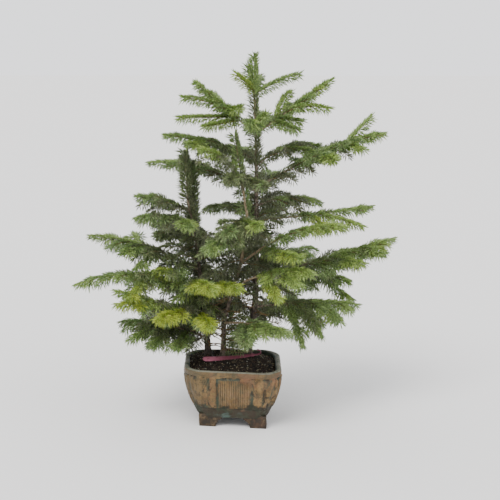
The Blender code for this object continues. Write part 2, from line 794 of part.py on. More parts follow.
def build_crown():
    stems, shapes = build_limbs()
    axes = []
    for name, forks in FORKS.items():
        at, bare, spread, thick = stems[name]
        for number, (share, bearing, reach, rise, arch, side) in enumerate(forks):
            seed = f"{name} fork {number}"
            variants = fork_variants(at(share), bearing, reach, rise, arch, thick, seed)
            fork = grown(name, shapes, variants)
            if fork:
                axes.append((name, fork.line, 0.22, side, fork.girth, seed))
    for name, (at, bare, spread, thick) in stems.items():
        axes.append((name, at, max(bare + 0.06, 0.14), spread, thick, name))
    for name, at, begin, side, thick, seed in axes:
        if side < SHORT_SIDE:
            continue
        count = max(1, round(length_of(at, begin, 0.9) / SHOOT_PITCH))
        rng = random.Random(seed)
        for number in range(count):
            t = begin + (0.9 - begin) * (number + rng.uniform(0.2, 0.6)) / count
            long = side * (1.05 - 0.45 * number / count) * rng.uniform(0.85, 1.1)
            ways = (1, -1) if side > PAIRED_SIDE else (1 if number % 2 else -1,)
            for way in ways:
                girth = min(thick * 0.75, 0.0013)
                grown(name, shapes, side_variants(at, t, way, long, girth, f"{seed} {number} {way}"))
    for number, (name, parts) in enumerate(shapes.items()):
        mass = piece("foliage_" + name, *parts[0], GREENS[number % 3], 0.7)
        if len(parts) > 1:
            fused(mass, parts[1:])
        mass.data.shade_flat()


clear_scene()
build_pot()
build_soil()
build_tag()
for trunk_name in TRUNKS:
    build_trunk(trunk_name)
build_crown()
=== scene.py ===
import math
import random

import bmesh
import bpy
from mathutils import Matrix, Vector, noise


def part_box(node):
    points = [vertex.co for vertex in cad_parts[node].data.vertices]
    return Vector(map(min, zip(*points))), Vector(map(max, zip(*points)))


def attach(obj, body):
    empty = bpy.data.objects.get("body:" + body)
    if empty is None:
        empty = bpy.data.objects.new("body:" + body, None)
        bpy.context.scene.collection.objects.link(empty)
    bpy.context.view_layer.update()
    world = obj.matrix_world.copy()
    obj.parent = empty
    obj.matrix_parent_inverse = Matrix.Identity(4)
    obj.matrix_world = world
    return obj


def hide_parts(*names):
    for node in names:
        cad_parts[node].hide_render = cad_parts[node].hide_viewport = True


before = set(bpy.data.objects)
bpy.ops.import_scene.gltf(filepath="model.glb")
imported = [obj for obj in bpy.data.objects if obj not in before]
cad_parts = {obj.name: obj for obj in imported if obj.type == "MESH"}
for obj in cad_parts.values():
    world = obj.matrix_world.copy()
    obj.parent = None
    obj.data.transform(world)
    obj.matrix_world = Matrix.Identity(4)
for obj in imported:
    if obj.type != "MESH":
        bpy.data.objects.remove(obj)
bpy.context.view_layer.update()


# POT
# A footed stoneware pot, slab built and pressed: a rounded rectangle whose walls swell and draw
# in towards the foot, a rolled rim band, and carved walls under thin ash and iron glazes.
POT_HALF = (0.072, 0.063)
POT_CORNER = 0.030
# Where the wall draws in, the corners tighten and the depth lags behind the width.
CORNER_SHARE = 0.35
TIGHTEST_CORNER = 0.012
DEPTH_SHARE = 0.75
# The hand-built plan is a little out of square: X per Y, and how Y widens towards +X, per metre.
PLAN_SKEW = -0.10
PLAN_TAPER = 1.1
WALL_FOOT = 0.0150
WALL_RISE = 0.0730
RIM_TOP = 0.0880
RIM_OUTER = 0.0022
RIM_INNER = 0.0062
RIM_CROWN = 0.0006
BOWL_DEEP = 0.0180
UNDER_INSET = 0.0265
# Heights of the wall and of the bowl, and how far in the clay is at each.
WALL = (
    (WALL_FOOT, 0.0207),
    (0.0175, 0.0190),
    (0.0290, 0.0135),
    (0.0420, 0.0080),
    (0.0570, 0.0036),
    (0.0768, 0.0006),
    (0.0788, 0.0016),
    (0.0806, 0.0003),
    (0.0855, 0.0000),
    (0.0875, 0.0008),
    (RIM_TOP, RIM_OUTER),
)
BOWL = (
    (RIM_TOP, RIM_INNER),
    (0.0872, 0.0076),
    (0.0780, 0.0092),
    (0.0700, 0.0110),
)
SHORT_STEP = 0.006
# How finely the clay is drawn: points round a corner, a long side and an end, and rings.
CORNER_POINTS = 30
LONG_POINTS = 150
END_POINTS = 62
WALL_STEPS = 108
RIM_STEPS = 6
BOWL_STEPS = 14
PANEL_ACROSS = (-0.0203, 0.0257)
PANEL_HIGH = (0.0300, 0.0757)
PANEL_SUNK = 0.0004
PANEL_SIDE_SLOPE = 0.0012
PANEL_END_SLOPE = 0.0010
# How far the carving stands out or goes in.
LUMPS = 0.0004
RIDGE_PROUD = 0.0012
FIELD_SUNK = 0.0007
HOLLOW_DEEP = 0.0011
CLEFT_DEEP = 0.0008
NECK_AT = 0.0787
NECK_FILLED = 0.0012
NECK_SUNK = 0.0005
GROOVE_AT = 0.0292
GROOVE_DEEP = 0.0004
DENT_DEEP = 0.0003
SKIN_ROUGH = 0.00014
BOWL_RELIEF = -0.0004
RELIEF_PER_METRE = 300
RIDGE_FOOT = 0.0300
# Slopes, as heights: where the ridges, the carved field and the rim band begin or end, and where
# the carving fades at the foot and at the top.
RIDGE_RISE = (0.0290, 0.0325)
FIELD_RISE = (0.0280, 0.0310)
FIELD_FALL = (0.0780, 0.0800)
BAND_RISE = (0.0795, 0.0810)
FADE_RISE = (0.0150, 0.0165)
FADE_FALL = (0.0868, 0.0880)
# Raised bark-like ridges, first on the long sides and then on the ends: middle at the top and at
# the foot, half width at the top and at the foot, and height of the top.
LONG_RIDGES = (
    (-0.0645, -0.0540, 0.0030, 0.0022, 0.0760),
    (-0.0562, -0.0545, 0.0030, 0.0034, 0.0740),
    (-0.0478, -0.0486, 0.0052, 0.0046, 0.0806),
    (-0.0284, -0.0290, 0.0052, 0.0056, 0.0806),
    (0.0408, 0.0345, 0.0100, 0.0056, 0.0762),
    (0.0625, 0.0455, 0.0028, 0.0030, 0.0790),
)
END_RIDGES = (
    (-0.0545, -0.0400, 0.0032, 0.0026, 0.0770),
    (-0.0440, -0.0330, 0.0044, 0.0030, 0.0765),
    (-0.0330, -0.0250, 0.0050, 0.0036, 0.0800),
    (-0.0195, -0.0150, 0.0060, 0.0042, 0.0770),
    (-0.0060, -0.0060, 0.0052, 0.0040, 0.0800),
    (0.0075, 0.0050, 0.0062, 0.0046, 0.0765),
    (0.0215, 0.0160, 0.0056, 0.0044, 0.0795),
    (0.0350, 0.0265, 0.0060, 0.0040, 0.0770),
    (0.0490, 0.0370, 0.0050, 0.0034, 0.0775),
)

soil_low, soil_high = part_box("soil")
POT_AT = Vector(((soil_low.x + soil_high.x) / 2, (soil_low.y + soil_high.y) / 2, 0.0))


def stood(name, data):
    """A new object in the scene, unturned and at the origin."""
    item = bpy.data.objects.new(name, data)
    bpy.context.scene.collection.objects.link(item)
    return item


def made(name, verts, faces, smooth=True):
    """A mesh object with its place in its mesh, faces outwards."""
    mesh = bpy.data.meshes.new(name)
    mesh.from_pydata([tuple(v) for v in verts], [], faces)
    work = bmesh.new()
    work.from_mesh(mesh)
    bmesh.ops.recalc_face_normals(work, faces=work.faces)
    work.to_mesh(mesh)
    work.free()
    mesh.shade_smooth() if smooth else mesh.shade_flat()
    return stood(name, mesh)


def from_work(name, work, smooth=False):
    """A mesh object from a mesh that was worked on."""
    mesh = bpy.data.meshes.new(name)
    work.to_mesh(mesh)
    work.free()
    mesh.shade_smooth() if smooth else mesh.shade_flat()
    return stood(name, mesh)


def stored_on(item, label, values):
    """Keeps a value at each point of a mesh, for its material or a tree to read."""
    item.data.attributes.new(label, "FLOAT", "POINT").data.foreach_set("value", values)


def fitted(item, slot, *nodes):
    """Sets a finished piece on the plant, in the place of its solids."""
    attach(item, "root")
    if nodes:
        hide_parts(*nodes)


def lofted(rings):
    """Points and faces over rings of equally many points, each ring and both ends closed."""
    count = len(rings[0])
    verts = [p for ring in rings for p in ring]
    faces = []
    for level in range(len(rings) - 1):
        for i in range(count):
            a = level * count + i
            b = level * count + (i + 1) % count
            faces.append((a, b, b + count, a + count))
    faces.append(tuple(range(count)))
    faces.append(tuple(range(len(verts) - count, len(verts))))
    return verts, faces


def smooth_step(low, high, value):
    t = min(max((value - low) / (high - low), 0.0), 1.0)
    return t * t * (3 - 2 * t)


def between(value, rise, fall):
    """1 where a value lies between two slopes, 0 beyond them."""
    return smooth_step(*rise, value) * (1 - smooth_step(*fall, value))


def curved(t, a, b, slope_a, slope_b):
    """A smooth curve from a to b, with its slope at each end."""
    return (
        (2 * t**3 - 3 * t**2 + 1) * a
        + (t**3 - 2 * t**2 + t) * slope_a
        + (3 * t**2 - 2 * t**3) * b
        + (t**3 - t**2) * slope_b
    )


def inset_at(height, profile):
    """How far a wall draws in at a height: short steps of the profile are straight."""
    for i, ((low, a), (high, b)) in enumerate(zip(profile, profile[1:])):
        if low <= height <= high:
            span = high - low
            t = (height - low) / span
            if span <= SHORT_STEP:
                return a + (b - a) * t
            before = profile[max(i - 1, 0)]
            after = profile[min(i + 2, len(profile) - 1)]
            slope_a = (b - before[1]) / (high - before[0]) * span
            slope_b = (after[1] - a) / (after[0] - low) * span
            return curved(t, a, b, slope_a, slope_b)
    return profile[-1][1]


def corner_of(inset, back=0.0):
    """The radius of the pot's corners where the wall draws in."""
    return max(POT_CORNER - inset * CORNER_SHARE - back, TIGHTEST_CORNER)


def wall_ring(inset, back=0.0):
    """Points and outward directions round the pot, closer together on the long carved sides."""
    half_x = POT_HALF[0] - inset - back
    half_y = POT_HALF[1] - inset * DEPTH_SHARE - back
    corner = corner_of(inset, back)
    ring = []
    for quarter in range(4):
        turn = math.radians(90 * quarter)
        mid_x = (half_x - corner) * (1 if quarter in (0, 3) else -1)
        mid_y = (half_y - corner) * (1 if quarter < 2 else -1)
        for step in range(CORNER_POINTS):
            angle = turn + math.radians(90 * step / CORNER_POINTS)
            out = Vector((math.cos(angle), math.sin(angle), 0.0))
            ring.append((Vector((mid_x, mid_y, 0.0)) + out * corner, out))
        long_side = quarter in (0, 2)
        count = LONG_POINTS if long_side else END_POINTS
        out = Vector((math.cos(turn + math.pi / 2), math.sin(turn + math.pi / 2), 0.0))
        along = Vector((-out.y, out.x, 0.0))
        span = 2 * ((half_x if long_side else half_y) - corner)
        start = Vector((mid_x, mid_y, 0.0)) + out * corner
        for step in range(count):
            ring.append((start + along * span * (step + 0.5) / count, out))
    return ring


def in_plan(place):
    """A place of the squared plan, moved to where the hand-built pot has it."""
    return Vector((place.x + PLAN_SKEW * place.y, place.y * (1 + PLAN_TAPER * place.x), place.z))


def plain_ring(inset, height, back=0.0):
    """An uncarved ring of the pot, where it stands."""
    return [POT_AT + in_plan(p) + Vector((0, 0, height)) for p, out in wall_ring(inset, back)]


def ridge_at(along, height, ridges):
    """How far a place lies on one of the ridges: 0 between them, 1 on a crest."""
    most = 0.0
    for top_mid, foot_mid, top_half, foot_half, top in ridges:
        share = (height - RIDGE_FOOT) / (top - RIDGE_FOOT)
        middle = foot_mid + (top_mid - foot_mid) * share
        half = foot_half + (top_half - foot_half) * share
        wander = 0.0011 * noise.noise(Vector((top_mid * 400, height * 90, 3.0)))
        ragged = 1 + 0.30 * noise.noise(Vector((along * 260, height * 130, 7.0)))
        off = abs(along - middle - wander) / (half * ragged)
        ceiling = top - 0.0036 * off * off
        side = 1 - smooth_step(0.55, 1.08, off)
        ends = between(height, RIDGE_RISE, (ceiling - 0.0012, ceiling + 0.0012))
        most = max(most, side * ends)
    return most


def crease(width, *spot):
    """Thin lines that wander, where a noise crosses its middle."""
    return 1 - smooth_step(0.0, width, abs(noise.noise(Vector(spot))))


def in_panel(along, height):
    """How far a place lies in the sunk field of the ribs, whose upper edge wavers."""
    left, right = PANEL_ACROSS
    foot, top = PANEL_HIGH
    top += 0.0008 * noise.noise(Vector((along * 160, 2.0, 0.0)))
    inside = between(along, (left - PANEL_SIDE_SLOPE, left), (right, right + PANEL_SIDE_SLOPE))
    inside *= smooth_step(foot - PANEL_END_SLOPE, foot + PANEL_END_SLOPE, height)
    return inside * (1 - smooth_step(top - PANEL_END_SLOPE, top + PANEL_END_SLOPE, height))


def carved(place, out, height):
    """The depth of the carving at a place of the wall, in metres, and how far it is in a cleft."""
    long_side = abs(out.y) > 0.7072
    corner = corner_of(inset_at(height, WALL))
    if long_side:
        along = (place.x + corner * (math.asin(out.x) - out.x)) * (-1 if out.y > 0 else 1)
    else:
        along = (place.y + corner * (math.asin(out.y) - out.y)) * (1 if out.x > 0 else -1)
    ridge = ridge_at(along, height, LONG_RIDGES if long_side else END_RIDGES)
    spot = Vector((place.x, place.y, height))
    lump = noise.fractal(spot * 55, 1.0, 2.0, 3)
    body = between(height, FIELD_RISE, FIELD_FALL)
    depth = LUMPS * lump + RIDGE_PROUD * ridge - FIELD_SUNK * (1 - ridge) * body
    # Dark clefts like those of bark, long and wandering, with short ones across the crests.
    sway = 2.4 * noise.noise(spot * 45)
    long_cleft = crease(0.20, along * 250 + sway, 5.0, height * 60)
    short_cleft = crease(0.16, along * 420 - sway, 9.0, height * 210)
    torn = smooth_step(-0.25, 0.20, noise.noise(spot * 95))
    if long_side:
        inside = in_panel(along, height)
        depth += (0.00005 * lump - PANEL_SUNK - depth) * inside
        body *= 1 - inside
        # A deep hollow in the corner between the broad plate and the slip bar beside it.
        aside = abs(along - (0.0465 + 0.20 * (0.0560 - height))) / 0.0042
        hollow = (1 - smooth_step(0.4, 1.2, aside)) * smooth_step(0.034, 0.040, height)
        hollow *= 1 - smooth_step(0.062, 0.069, height)
        depth -= HOLLOW_DEEP * hollow * body
    cleft = (long_cleft * torn + 0.45 * short_cleft * (1 - long_cleft)) * body
    depth -= CLEFT_DEEP * cleft
    # The neck under the rim is bridged by the ridges, and clay fills it here and there.
    neck = 1 - smooth_step(0.0004, 0.0018, abs(height - NECK_AT))
    broken = smooth_step(-0.12, 0.12, noise.noise(Vector((along * 75, 4.0, 0.0))))
    filled = max(ridge, 0.85 * (1 - broken))
    depth += (NECK_FILLED * filled - NECK_SUNK * (1 - filled)) * neck
    depth -= GROOVE_DEEP * (1 - smooth_step(0.0003, 0.0016, abs(height - GROOVE_AT)))
    band = smooth_step(*BAND_RISE, height)
    dents = crease(0.22, along * 70, 11.0, height * 110) * band
    depth -= DENT_DEEP * dents
    return depth + SKIN_ROUGH * noise.fractal(spot * 240, 1.0, 2.2, 3), cleft + 0.5 * dents


pot_rings = [plain_ring(UNDER_INSET, WALL_FOOT - 0.0004)]
pot_relief = [0.0] * len(pot_rings[0])
pot_clefts = list(pot_relief)
for step in range(WALL_STEPS + 1):
    height = WALL_FOOT + WALL_RISE * step / WALL_STEPS
    fade = between(height, FADE_RISE, FADE_FALL)
    ring = []
    for place, out in wall_ring(inset_at(height, WALL)):
        deep, cleft = carved(place, out, height)
        ring.append(POT_AT + in_plan(place + out * deep * fade) + Vector((0, 0, height)))
        pot_relief.append(deep)
        pot_clefts.append(cleft)
    pot_rings.append(ring)
outside = len(pot_relief)
for step in range(1, RIM_STEPS + 1):
    share = step / RIM_STEPS
    inset = RIM_OUTER + (RIM_INNER - RIM_OUTER) * share
    pot_rings.append(plain_ring(inset, RIM_TOP + RIM_CROWN * math.sin(math.pi * share)))
    pot_relief += [0.0] * len(pot_rings[-1])
bowl = tuple(reversed(BOWL))
for step in range(1, BOWL_STEPS + 1):
    height = RIM_TOP - BOWL_DEEP * step / BOWL_STEPS
    ring = []
    for place, out in wall_ring(inset_at(height, bowl)):
        dent = 0.0005 * noise.noise(Vector((place.x, place.y, height)) * 70)
        ring.append(POT_AT + in_plan(place + out * dent) + Vector((0, 0, height)))
    pot_rings.append(ring)
    pot_relief += [BOWL_RELIEF] * len(ring)
pot = made("pot_body", *lofted(pot_rings))
inside = len(pot_relief) - outside
stored_on(pot, "relief", [0.5 + RELIEF_PER_METRE * v for v in pot_relief])
stored_on(pot, "lining", [0.0] * outside + [1.0] * inside)
stored_on(pot, "cleft", pot_clefts + [0.0] * inside)


def add(tree, kind, **settings):
    node = tree.nodes.new(kind)
    for key, value in settings.items():
        setattr(node, key, value)
    return node


def wire(tree, *pairs):
    for source, target in pairs:
        tree.links.new(source, target)


def mottle_group():
    """Cloudy mask at a scale of its own: where a glaze lies thick, where dust has settled."""
    tree = bpy.data.node_groups.new("mottle", "ShaderNodeTree")
    faces = tree.interface
    faces.new_socket("Vector", in_out="INPUT", socket_type="NodeSocketVector")
    for label, start in (("Scale", 60.0), ("Low", 0.4), ("High", 0.6), ("Detail", 5.0)):
        faces.new_socket(label, in_out="INPUT", socket_type="NodeSocketFloat").default_value = start
    faces.new_socket("Mask", in_out="OUTPUT", socket_type="NodeSocketFloat")
    start = add(tree, "NodeGroupInput")
    end = add(tree, "NodeGroupOutput")
    cloud = add(tree, "ShaderNodeTexNoise")
    cloud.inputs["Roughness"].default_value = 0.62
    spread = add(tree, "ShaderNodeMapRange", interpolation_type="SMOOTHSTEP")
    wire(
        tree,
        (start.outputs["Vector"], cloud.inputs["Vector"]),
        (start.outputs["Scale"], cloud.inputs["Scale"]),
        (start.outputs["Detail"], cloud.inputs["Detail"]),
        (cloud.outputs["Fac"], spread.inputs["Value"]),
        (start.outputs["Low"], spread.inputs["From Min"]),
        (start.outputs["High"], spread.inputs["From Max"]),
        (spread.outputs["Result"], end.inputs["Mask"]),
    )
    return tree


mottle = mottle_group()


def set_or_wired(tree, *pairs):
    """Gives each socket what stands beside it: another socket, a number or a colour."""
    for socket, value in pairs:
        if isinstance(value, bpy.types.NodeSocket):
            wire(tree, (value, socket))
        elif isinstance(value, (int, float)):
            socket.default_value = value
        else:
            socket.default_value = (*value, 1.0)


class Finish:
    """A material being laid up: its shader, its coordinates, and short ways to add layers."""

    def __init__(self, name, roughness=0.6, specular=0.5):
        self.material = bpy.data.materials.new(name)
        self.material.use_nodes = True
        self.tree = self.material.node_tree
        self.shader = self.tree.nodes["Principled BSDF"]
        self.shader.inputs["Roughness"].default_value = roughness
        self.shader.inputs["Specular IOR Level"].default_value = specular
        self.place = add(self.tree, "ShaderNodeTexCoord").outputs["Object"]

    def patches(self, scale, low, high, detail=5.0, vector=None):
        node = add(self.tree, "ShaderNodeGroup")
        node.node_tree = mottle
        wire(self.tree, (vector or self.place, node.inputs["Vector"]))
        for label, value in zip(("Scale", "Low", "High", "Detail"), (scale, low, high, detail)):
            node.inputs[label].default_value = value
        return node.outputs["Mask"]

    def stretched(self, x, y, z):
        node = add(self.tree, "ShaderNodeMapping")
        node.inputs["Scale"].default_value = (x, y, z)
        wire(self.tree, (self.place, node.inputs["Vector"]))
        return node.outputs["Vector"]

    def blended(self, mask, under, over):
        """Under and over are colours or sockets."""
        node = add(self.tree, "ShaderNodeMix", data_type="RGBA")
        pairs = zip((node.inputs[0], node.inputs[6], node.inputs[7]), (mask, under, over))
        set_or_wired(self.tree, *pairs)
        return node.outputs[2]

    def base(self, mask, under, over):
        self.skin = self.blended(mask, under, over)

    def lay(self, mask, over, share=None):
        """Lays a colour on what is there, through a mask that a share may weaken."""
        if share is not None:
            mask = self.times(mask, share)
        self.skin = self.blended(mask, self.skin, over)

    def level(self, value, low, high, to_low=0.0, to_high=1.0):
        node = add(self.tree, "ShaderNodeMapRange", interpolation_type="SMOOTHSTEP")
        wire(self.tree, (value, node.inputs["Value"]))
        for index, number in enumerate((low, high, to_low, to_high), 1):
            node.inputs[index].default_value = number
        return node.outputs[0]

    def maths(self, kind, a, b=0.0):
        node = add(self.tree, "ShaderNodeMath", operation=kind)
        set_or_wired(self.tree, (node.inputs[0], a), (node.inputs[1], b))
        return node.outputs[0]

    def times(self, a, b):
        return self.maths("MULTIPLY", a, b)

    def axis(self, letter):
        node = add(self.tree, "ShaderNodeSeparateXYZ")
        wire(self.tree, (self.place, node.inputs[0]))
        return node.outputs[letter]

    def drawn(self, attribute):
        node = add(self.tree, "ShaderNodeAttribute", attribute_name=attribute)
        return node.outputs["Fac"]

    def colour(self):
        wire(self.tree, (self.skin, self.shader.inputs["Base Color"]))

    def gloss(self, least, most, *patch):
        """Roughness that goes from one value to another in patches."""
        rough = self.level(self.patches(*patch), 0.0, 1.0, least, most)
        wire(self.tree, (rough, self.shader.inputs["Roughness"]))

    def bumps(self, *heights):
        """Bump nodes in a chain: (socket, strength, distance in metres)."""
        normal = None
        for socket, strength, distance in heights:
            node = add(self.tree, "ShaderNodeBump")
            node.inputs["Strength"].default_value = strength
            node.inputs["Distance"].default_value = distance
            wire(self.tree, (socket, node.inputs["Height"]))
            if normal:
                wire(self.tree, (normal, node.inputs["Normal"]))
            normal = node.outputs["Normal"]
        wire(self.tree, (normal, self.shader.inputs["Normal"]))


CLAY = (0.125, 0.073, 0.033)
OCHRE = (0.215, 0.132, 0.052)
OLIVE = (0.080, 0.064, 0.033)
RUST = (0.180, 0.082, 0.046)
ASH_GREEN = (0.040, 0.052, 0.034)
TEAL_GREY = (0.068, 0.102, 0.088)
DARK_WASH = (0.020, 0.016, 0.011)
FOOT_WASH = (0.026, 0.019, 0.012)
PALE_DUST = (0.270, 0.188, 0.105)
# Belt colours: dark glaze, darkened further as painted shade on the lower wall.
BELT_BROWN = (0.025, 0.020, 0.012)
BELT_GREEN = (0.026, 0.032, 0.020)
# RIM_HIGHLIGHT is a painted highlight for the top of the rim.
RIM_HIGHLIGHT = (0.175, 0.172, 0.130)
CREVICE = (0.042, 0.034, 0.021)


def stoneware(name, kind="wall"):
    """Kind is wall, rib or foot: what is glazed, and where the relief comes from."""
    finish = Finish(name, 0.6, 0.28)
    high, across = finish.axis("Z"), finish.axis("X")
    # The clay, with runs, clouds and freckles.
    finish.base(finish.patches(75, 0.42, 0.58, 6.0), CLAY, OCHRE)
    finish.lay(finish.patches(1.0, 0.46, 0.62, 5.0, finish.stretched(150, 150, 34)), CLAY, 0.7)
    finish.lay(finish.patches(58, 0.50, 0.64, 6.0), OLIVE, 0.8)
    finish.lay(finish.patches(1.0, 0.50, 0.62, 4.0, finish.stretched(330, 330, 170)), OLIVE, 0.75)
    # Reddened by the fire, most under the rim and over the foot.
    upper = finish.level(high, 0.0750, 0.0800, 0.0, 0.75)
    ends = finish.maths("MAXIMUM", upper, finish.level(high, 0.0350, 0.0305))
    fired = finish.maths("MAXIMUM", ends, 0.5)
    finish.lay(finish.patches(34, 0.50, 0.64, 6.0), RUST, fired)
    if kind == "foot":
        finish.lay(0.85, FOOT_WASH)
    relief = finish.patches(120, 0.3, 0.7) if kind == "foot" else finish.drawn("relief")
    crest = finish.level(relief, 0.70, 0.95, 0.0, 0.22 if kind == "foot" else 0.60)
    if kind == "wall":
        # Ash glaze lies in runs in the hollows, and the crests are rubbed bare.
        runs = finish.patches(1.0, 0.42, 0.54, 4.0, finish.stretched(70, 70, 26))
        finish.lay(finish.level(relief, 0.50, 0.24), ASH_GREEN, runs)
        finish.lay(crest, OCHRE, finish.patches(110, 0.35, 0.55))
    else:
        finish.lay(crest, PALE_DUST)
    if kind != "foot":
        # A darker left flank, and a belt round the foot that runs out to the right.
        finish.lay(finish.level(across, POT_AT.x - 0.028, POT_AT.x - 0.046, 0.0, 0.50), OLIVE)
        wander = finish.times(finish.patches(90, 0.30, 0.70), 0.009)
        climb = finish.level(across, POT_AT.x + 0.016, POT_AT.x + 0.036, 0.0, 0.0055)
        edge = finish.maths("SUBTRACT", finish.maths("ADD", high, wander), climb)
        # The belt is dark glaze, laid darker still as painted shade on the lower wall under the
        # swell.
        belt = finish.blended(finish.patches(52, 0.42, 0.58, 6.0), BELT_BROWN, BELT_GREEN)
        finish.lay(finish.level(edge, 0.0385, 0.0335), belt, 0.95)
    dark = finish.level(relief, 0.48, 0.22, 0.0, 0.85)
    if kind == "wall":
        # A pool of glaze under the front, an olive rim band with a painted highlight along its top,
        # and a glazed bowl.
        aside = finish.maths("ABSOLUTE", finish.maths("ADD", across, 0.0125))
        pool = finish.times(finish.level(high, 0.0275, 0.0230), finish.patches(70, 0.45, 0.60))
        finish.lay(pool, TEAL_GREY, finish.level(aside, 0.0240, 0.0100, 0.0, 0.9))
        finish.lay(finish.level(high, 0.0785, 0.0815), OLIVE, 0.42)
        ledge = finish.maths("MAXIMUM", finish.level(high, 0.0872, 0.0880), finish.drawn("lining"))
        finish.lay(ledge, finish.blended(finish.patches(60, 0.42, 0.60), ASH_GREEN, TEAL_GREY))
        # Painted highlight: lighter patches laid over the top of the rim.
        finish.lay(finish.level(high, 0.0866, 0.0876), RIM_HIGHLIGHT, finish.patches(90, 0.34, 0.50))
        finish.lay(finish.level(finish.drawn("cleft"), 0.15, 0.85, 0.0, 0.72), CREVICE)
        dark = finish.level(relief, 0.30, 0.04, 0.0, 0.6)
    finish.lay(dark, DARK_WASH)
    specks = finish.patches(900, 0.62, 0.70, 2.0)
    finish.lay(specks, DARK_WASH, 0.8)
    finish.colour()
    finish.gloss(0.45, 0.80, 55, 0.35, 0.65)
    finish.bumps((finish.patches(260, 0.3, 0.7, 6.0), 0.35, 0.0006), (specks, 0.4, 0.0003))
    return finish.material


pot.data.materials.append(stoneware("stoneware_glazed"))
fitted(pot, "pot", "pot")


# POT RIBS
# Narrow ribs pressed side by side into a sunk field on each long side of the pot. Each follows
# the swell of the wall and is rubbed down a little at its ends.
RIB_COUNT = 17
RIB_PITCH = 0.00262
RIB_HALF = 0.00102
RIB_PROUD = 0.0014
RIB_GAP = 0.0006
RIB_ROOT = 0.0012
RIB_ROOT_HALF = 0.0008
RIB_STEPS = 28
RIB_WAVER = 0.00022


def tree_with(name, inputs):
    """An empty tree with geometry in and out, and the named sizes that it is set by."""
    tree = bpy.data.node_groups.new(name, "GeometryNodeTree")
    tree.interface.new_socket("Geometry", in_out="INPUT", socket_type="NodeSocketGeometry")
    for label, kind, start in inputs:
        socket = tree.interface.new_socket(label, in_out="INPUT", socket_type="NodeSocket" + kind)
        if start is not None:
            socket.default_value = start
    tree.interface.new_socket("Geometry", in_out="OUTPUT", socket_type="NodeSocketGeometry")
    return tree, add(tree, "NodeGroupInput"), add(tree, "NodeGroupOutput")


def grown_by(item, tree, **sizes):
    """Runs a tree on an object and keeps the result as its plain mesh."""
    modifier = item.modifiers.new(tree.name, "NODES")
    modifier.node_group = tree
    for socket in tree.interface.items_tree:
        label = socket.name.replace(" ", "_").lower()
        if socket.in_out == "INPUT" and label in sizes:
            modifier[socket.identifier] = sizes[label]
    graph = bpy.context.evaluated_depsgraph_get()
    whole = bpy.data.meshes.new_from_object(item.evaluated_get(graph))
    item.modifiers.clear()
    item.data = whole


def dressed(tree, start, end, shape):
    """Closes a tree: its shape is made real and set in its finish."""
    real = add(tree, "GeometryNodeRealizeInstances")
    dress = add(tree, "GeometryNodeSetMaterial")
    wire(
        tree,
        (shape, real.inputs[0]),
        (real.outputs[0], dress.inputs["Geometry"]),
        (start.outputs["Finish"], dress.inputs["Material"]),
        (dress.outputs[0], end.inputs[0]),
    )
    return tree


def repeated(tree, start, end, piece, points, scale, rotation=None):
    """Closes a tree that repeats one piece, an input of its own, on many points."""
    pattern = add(tree, "GeometryNodeObjectInfo")
    stand = add(tree, "GeometryNodeInstanceOnPoints")
    wire(
        tree,
        (start.outputs[piece], pattern.inputs["Object"]),
        (points, stand.inputs["Points"]),
        (pattern.outputs["Geometry"], stand.inputs["Instance"]),
        (scale, stand.inputs["Scale"]),
    )
    if rotation:
        wire(tree, (rotation, stand.inputs["Rotation"]))
    return dressed(tree, start, end, stand.outputs[0])


def rib_tree():
    tree, start, end = tree_with(
        "pressed ribs",
        (
            ("Rib", "Object", None),
            ("Count", "Int", RIB_COUNT),
            ("Pitch", "Float", RIB_PITCH),
            ("Unevenness", "Float", 0.25),
            ("Seed", "Int", 5),
            ("Finish", "Material", None),
        ),
    )
    row = add(tree, "GeometryNodeMeshLine")
    step = add(tree, "ShaderNodeCombineXYZ")
    wear = add(tree, "FunctionNodeRandomValue", data_type="FLOAT")
    least = add(tree, "ShaderNodeMath", operation="SUBTRACT")
    least.inputs[0].default_value = 1.0
    size = add(tree, "ShaderNodeCombineXYZ")
    size.inputs["Z"].default_value = 1.0
    size.inputs["Y"].default_value = 1.0
    wire(
        tree,
        (start.outputs["Count"], row.inputs["Count"]),
        (start.outputs["Pitch"], step.inputs["X"]),
        (step.outputs[0], row.inputs["Offset"]),
        (start.outputs["Unevenness"], least.inputs[1]),
        (least.outputs[0], wear.inputs[2]),
        (start.outputs["Seed"], wear.inputs["Seed"]),
        (wear.outputs[1], size.inputs["X"]),
    )
    return repeated(tree, start, end, "Rib", row.outputs[0], size.outputs[0])


def rib_stock():
    """One rib of half-round section, standing at the left end of the field on the front wall."""
    rings = []
    for i in range(RIB_STEPS + 1):
        share = i / RIB_STEPS
        height = PANEL_HIGH[0] + RIB_GAP + (PANEL_HIGH[1] - PANEL_HIGH[0] - 2 * RIB_GAP) * share
        wall = POT_HALF[1] - inset_at(height, WALL) * DEPTH_SHARE - PANEL_SUNK
        end_wear = math.sin(math.pi * min(max(share, 0.015), 0.985)) ** 0.18
        ring = []
        for side in range(9):
            angle = math.radians(180 + 180 * side / 8)
            across = RIB_HALF * math.cos(angle) * (0.8 + 0.2 * end_wear)
            proud = RIB_PROUD * end_wear * math.sin(angle)
            ring.append(Vector((across, -wall + 0.0003 + proud, height)))
        for across in (RIB_ROOT_HALF, -RIB_ROOT_HALF):
            ring.append(Vector((across, -wall + RIB_ROOT, height)))
        rings.append(ring)
    return made("rib_stock", *lofted(rings))


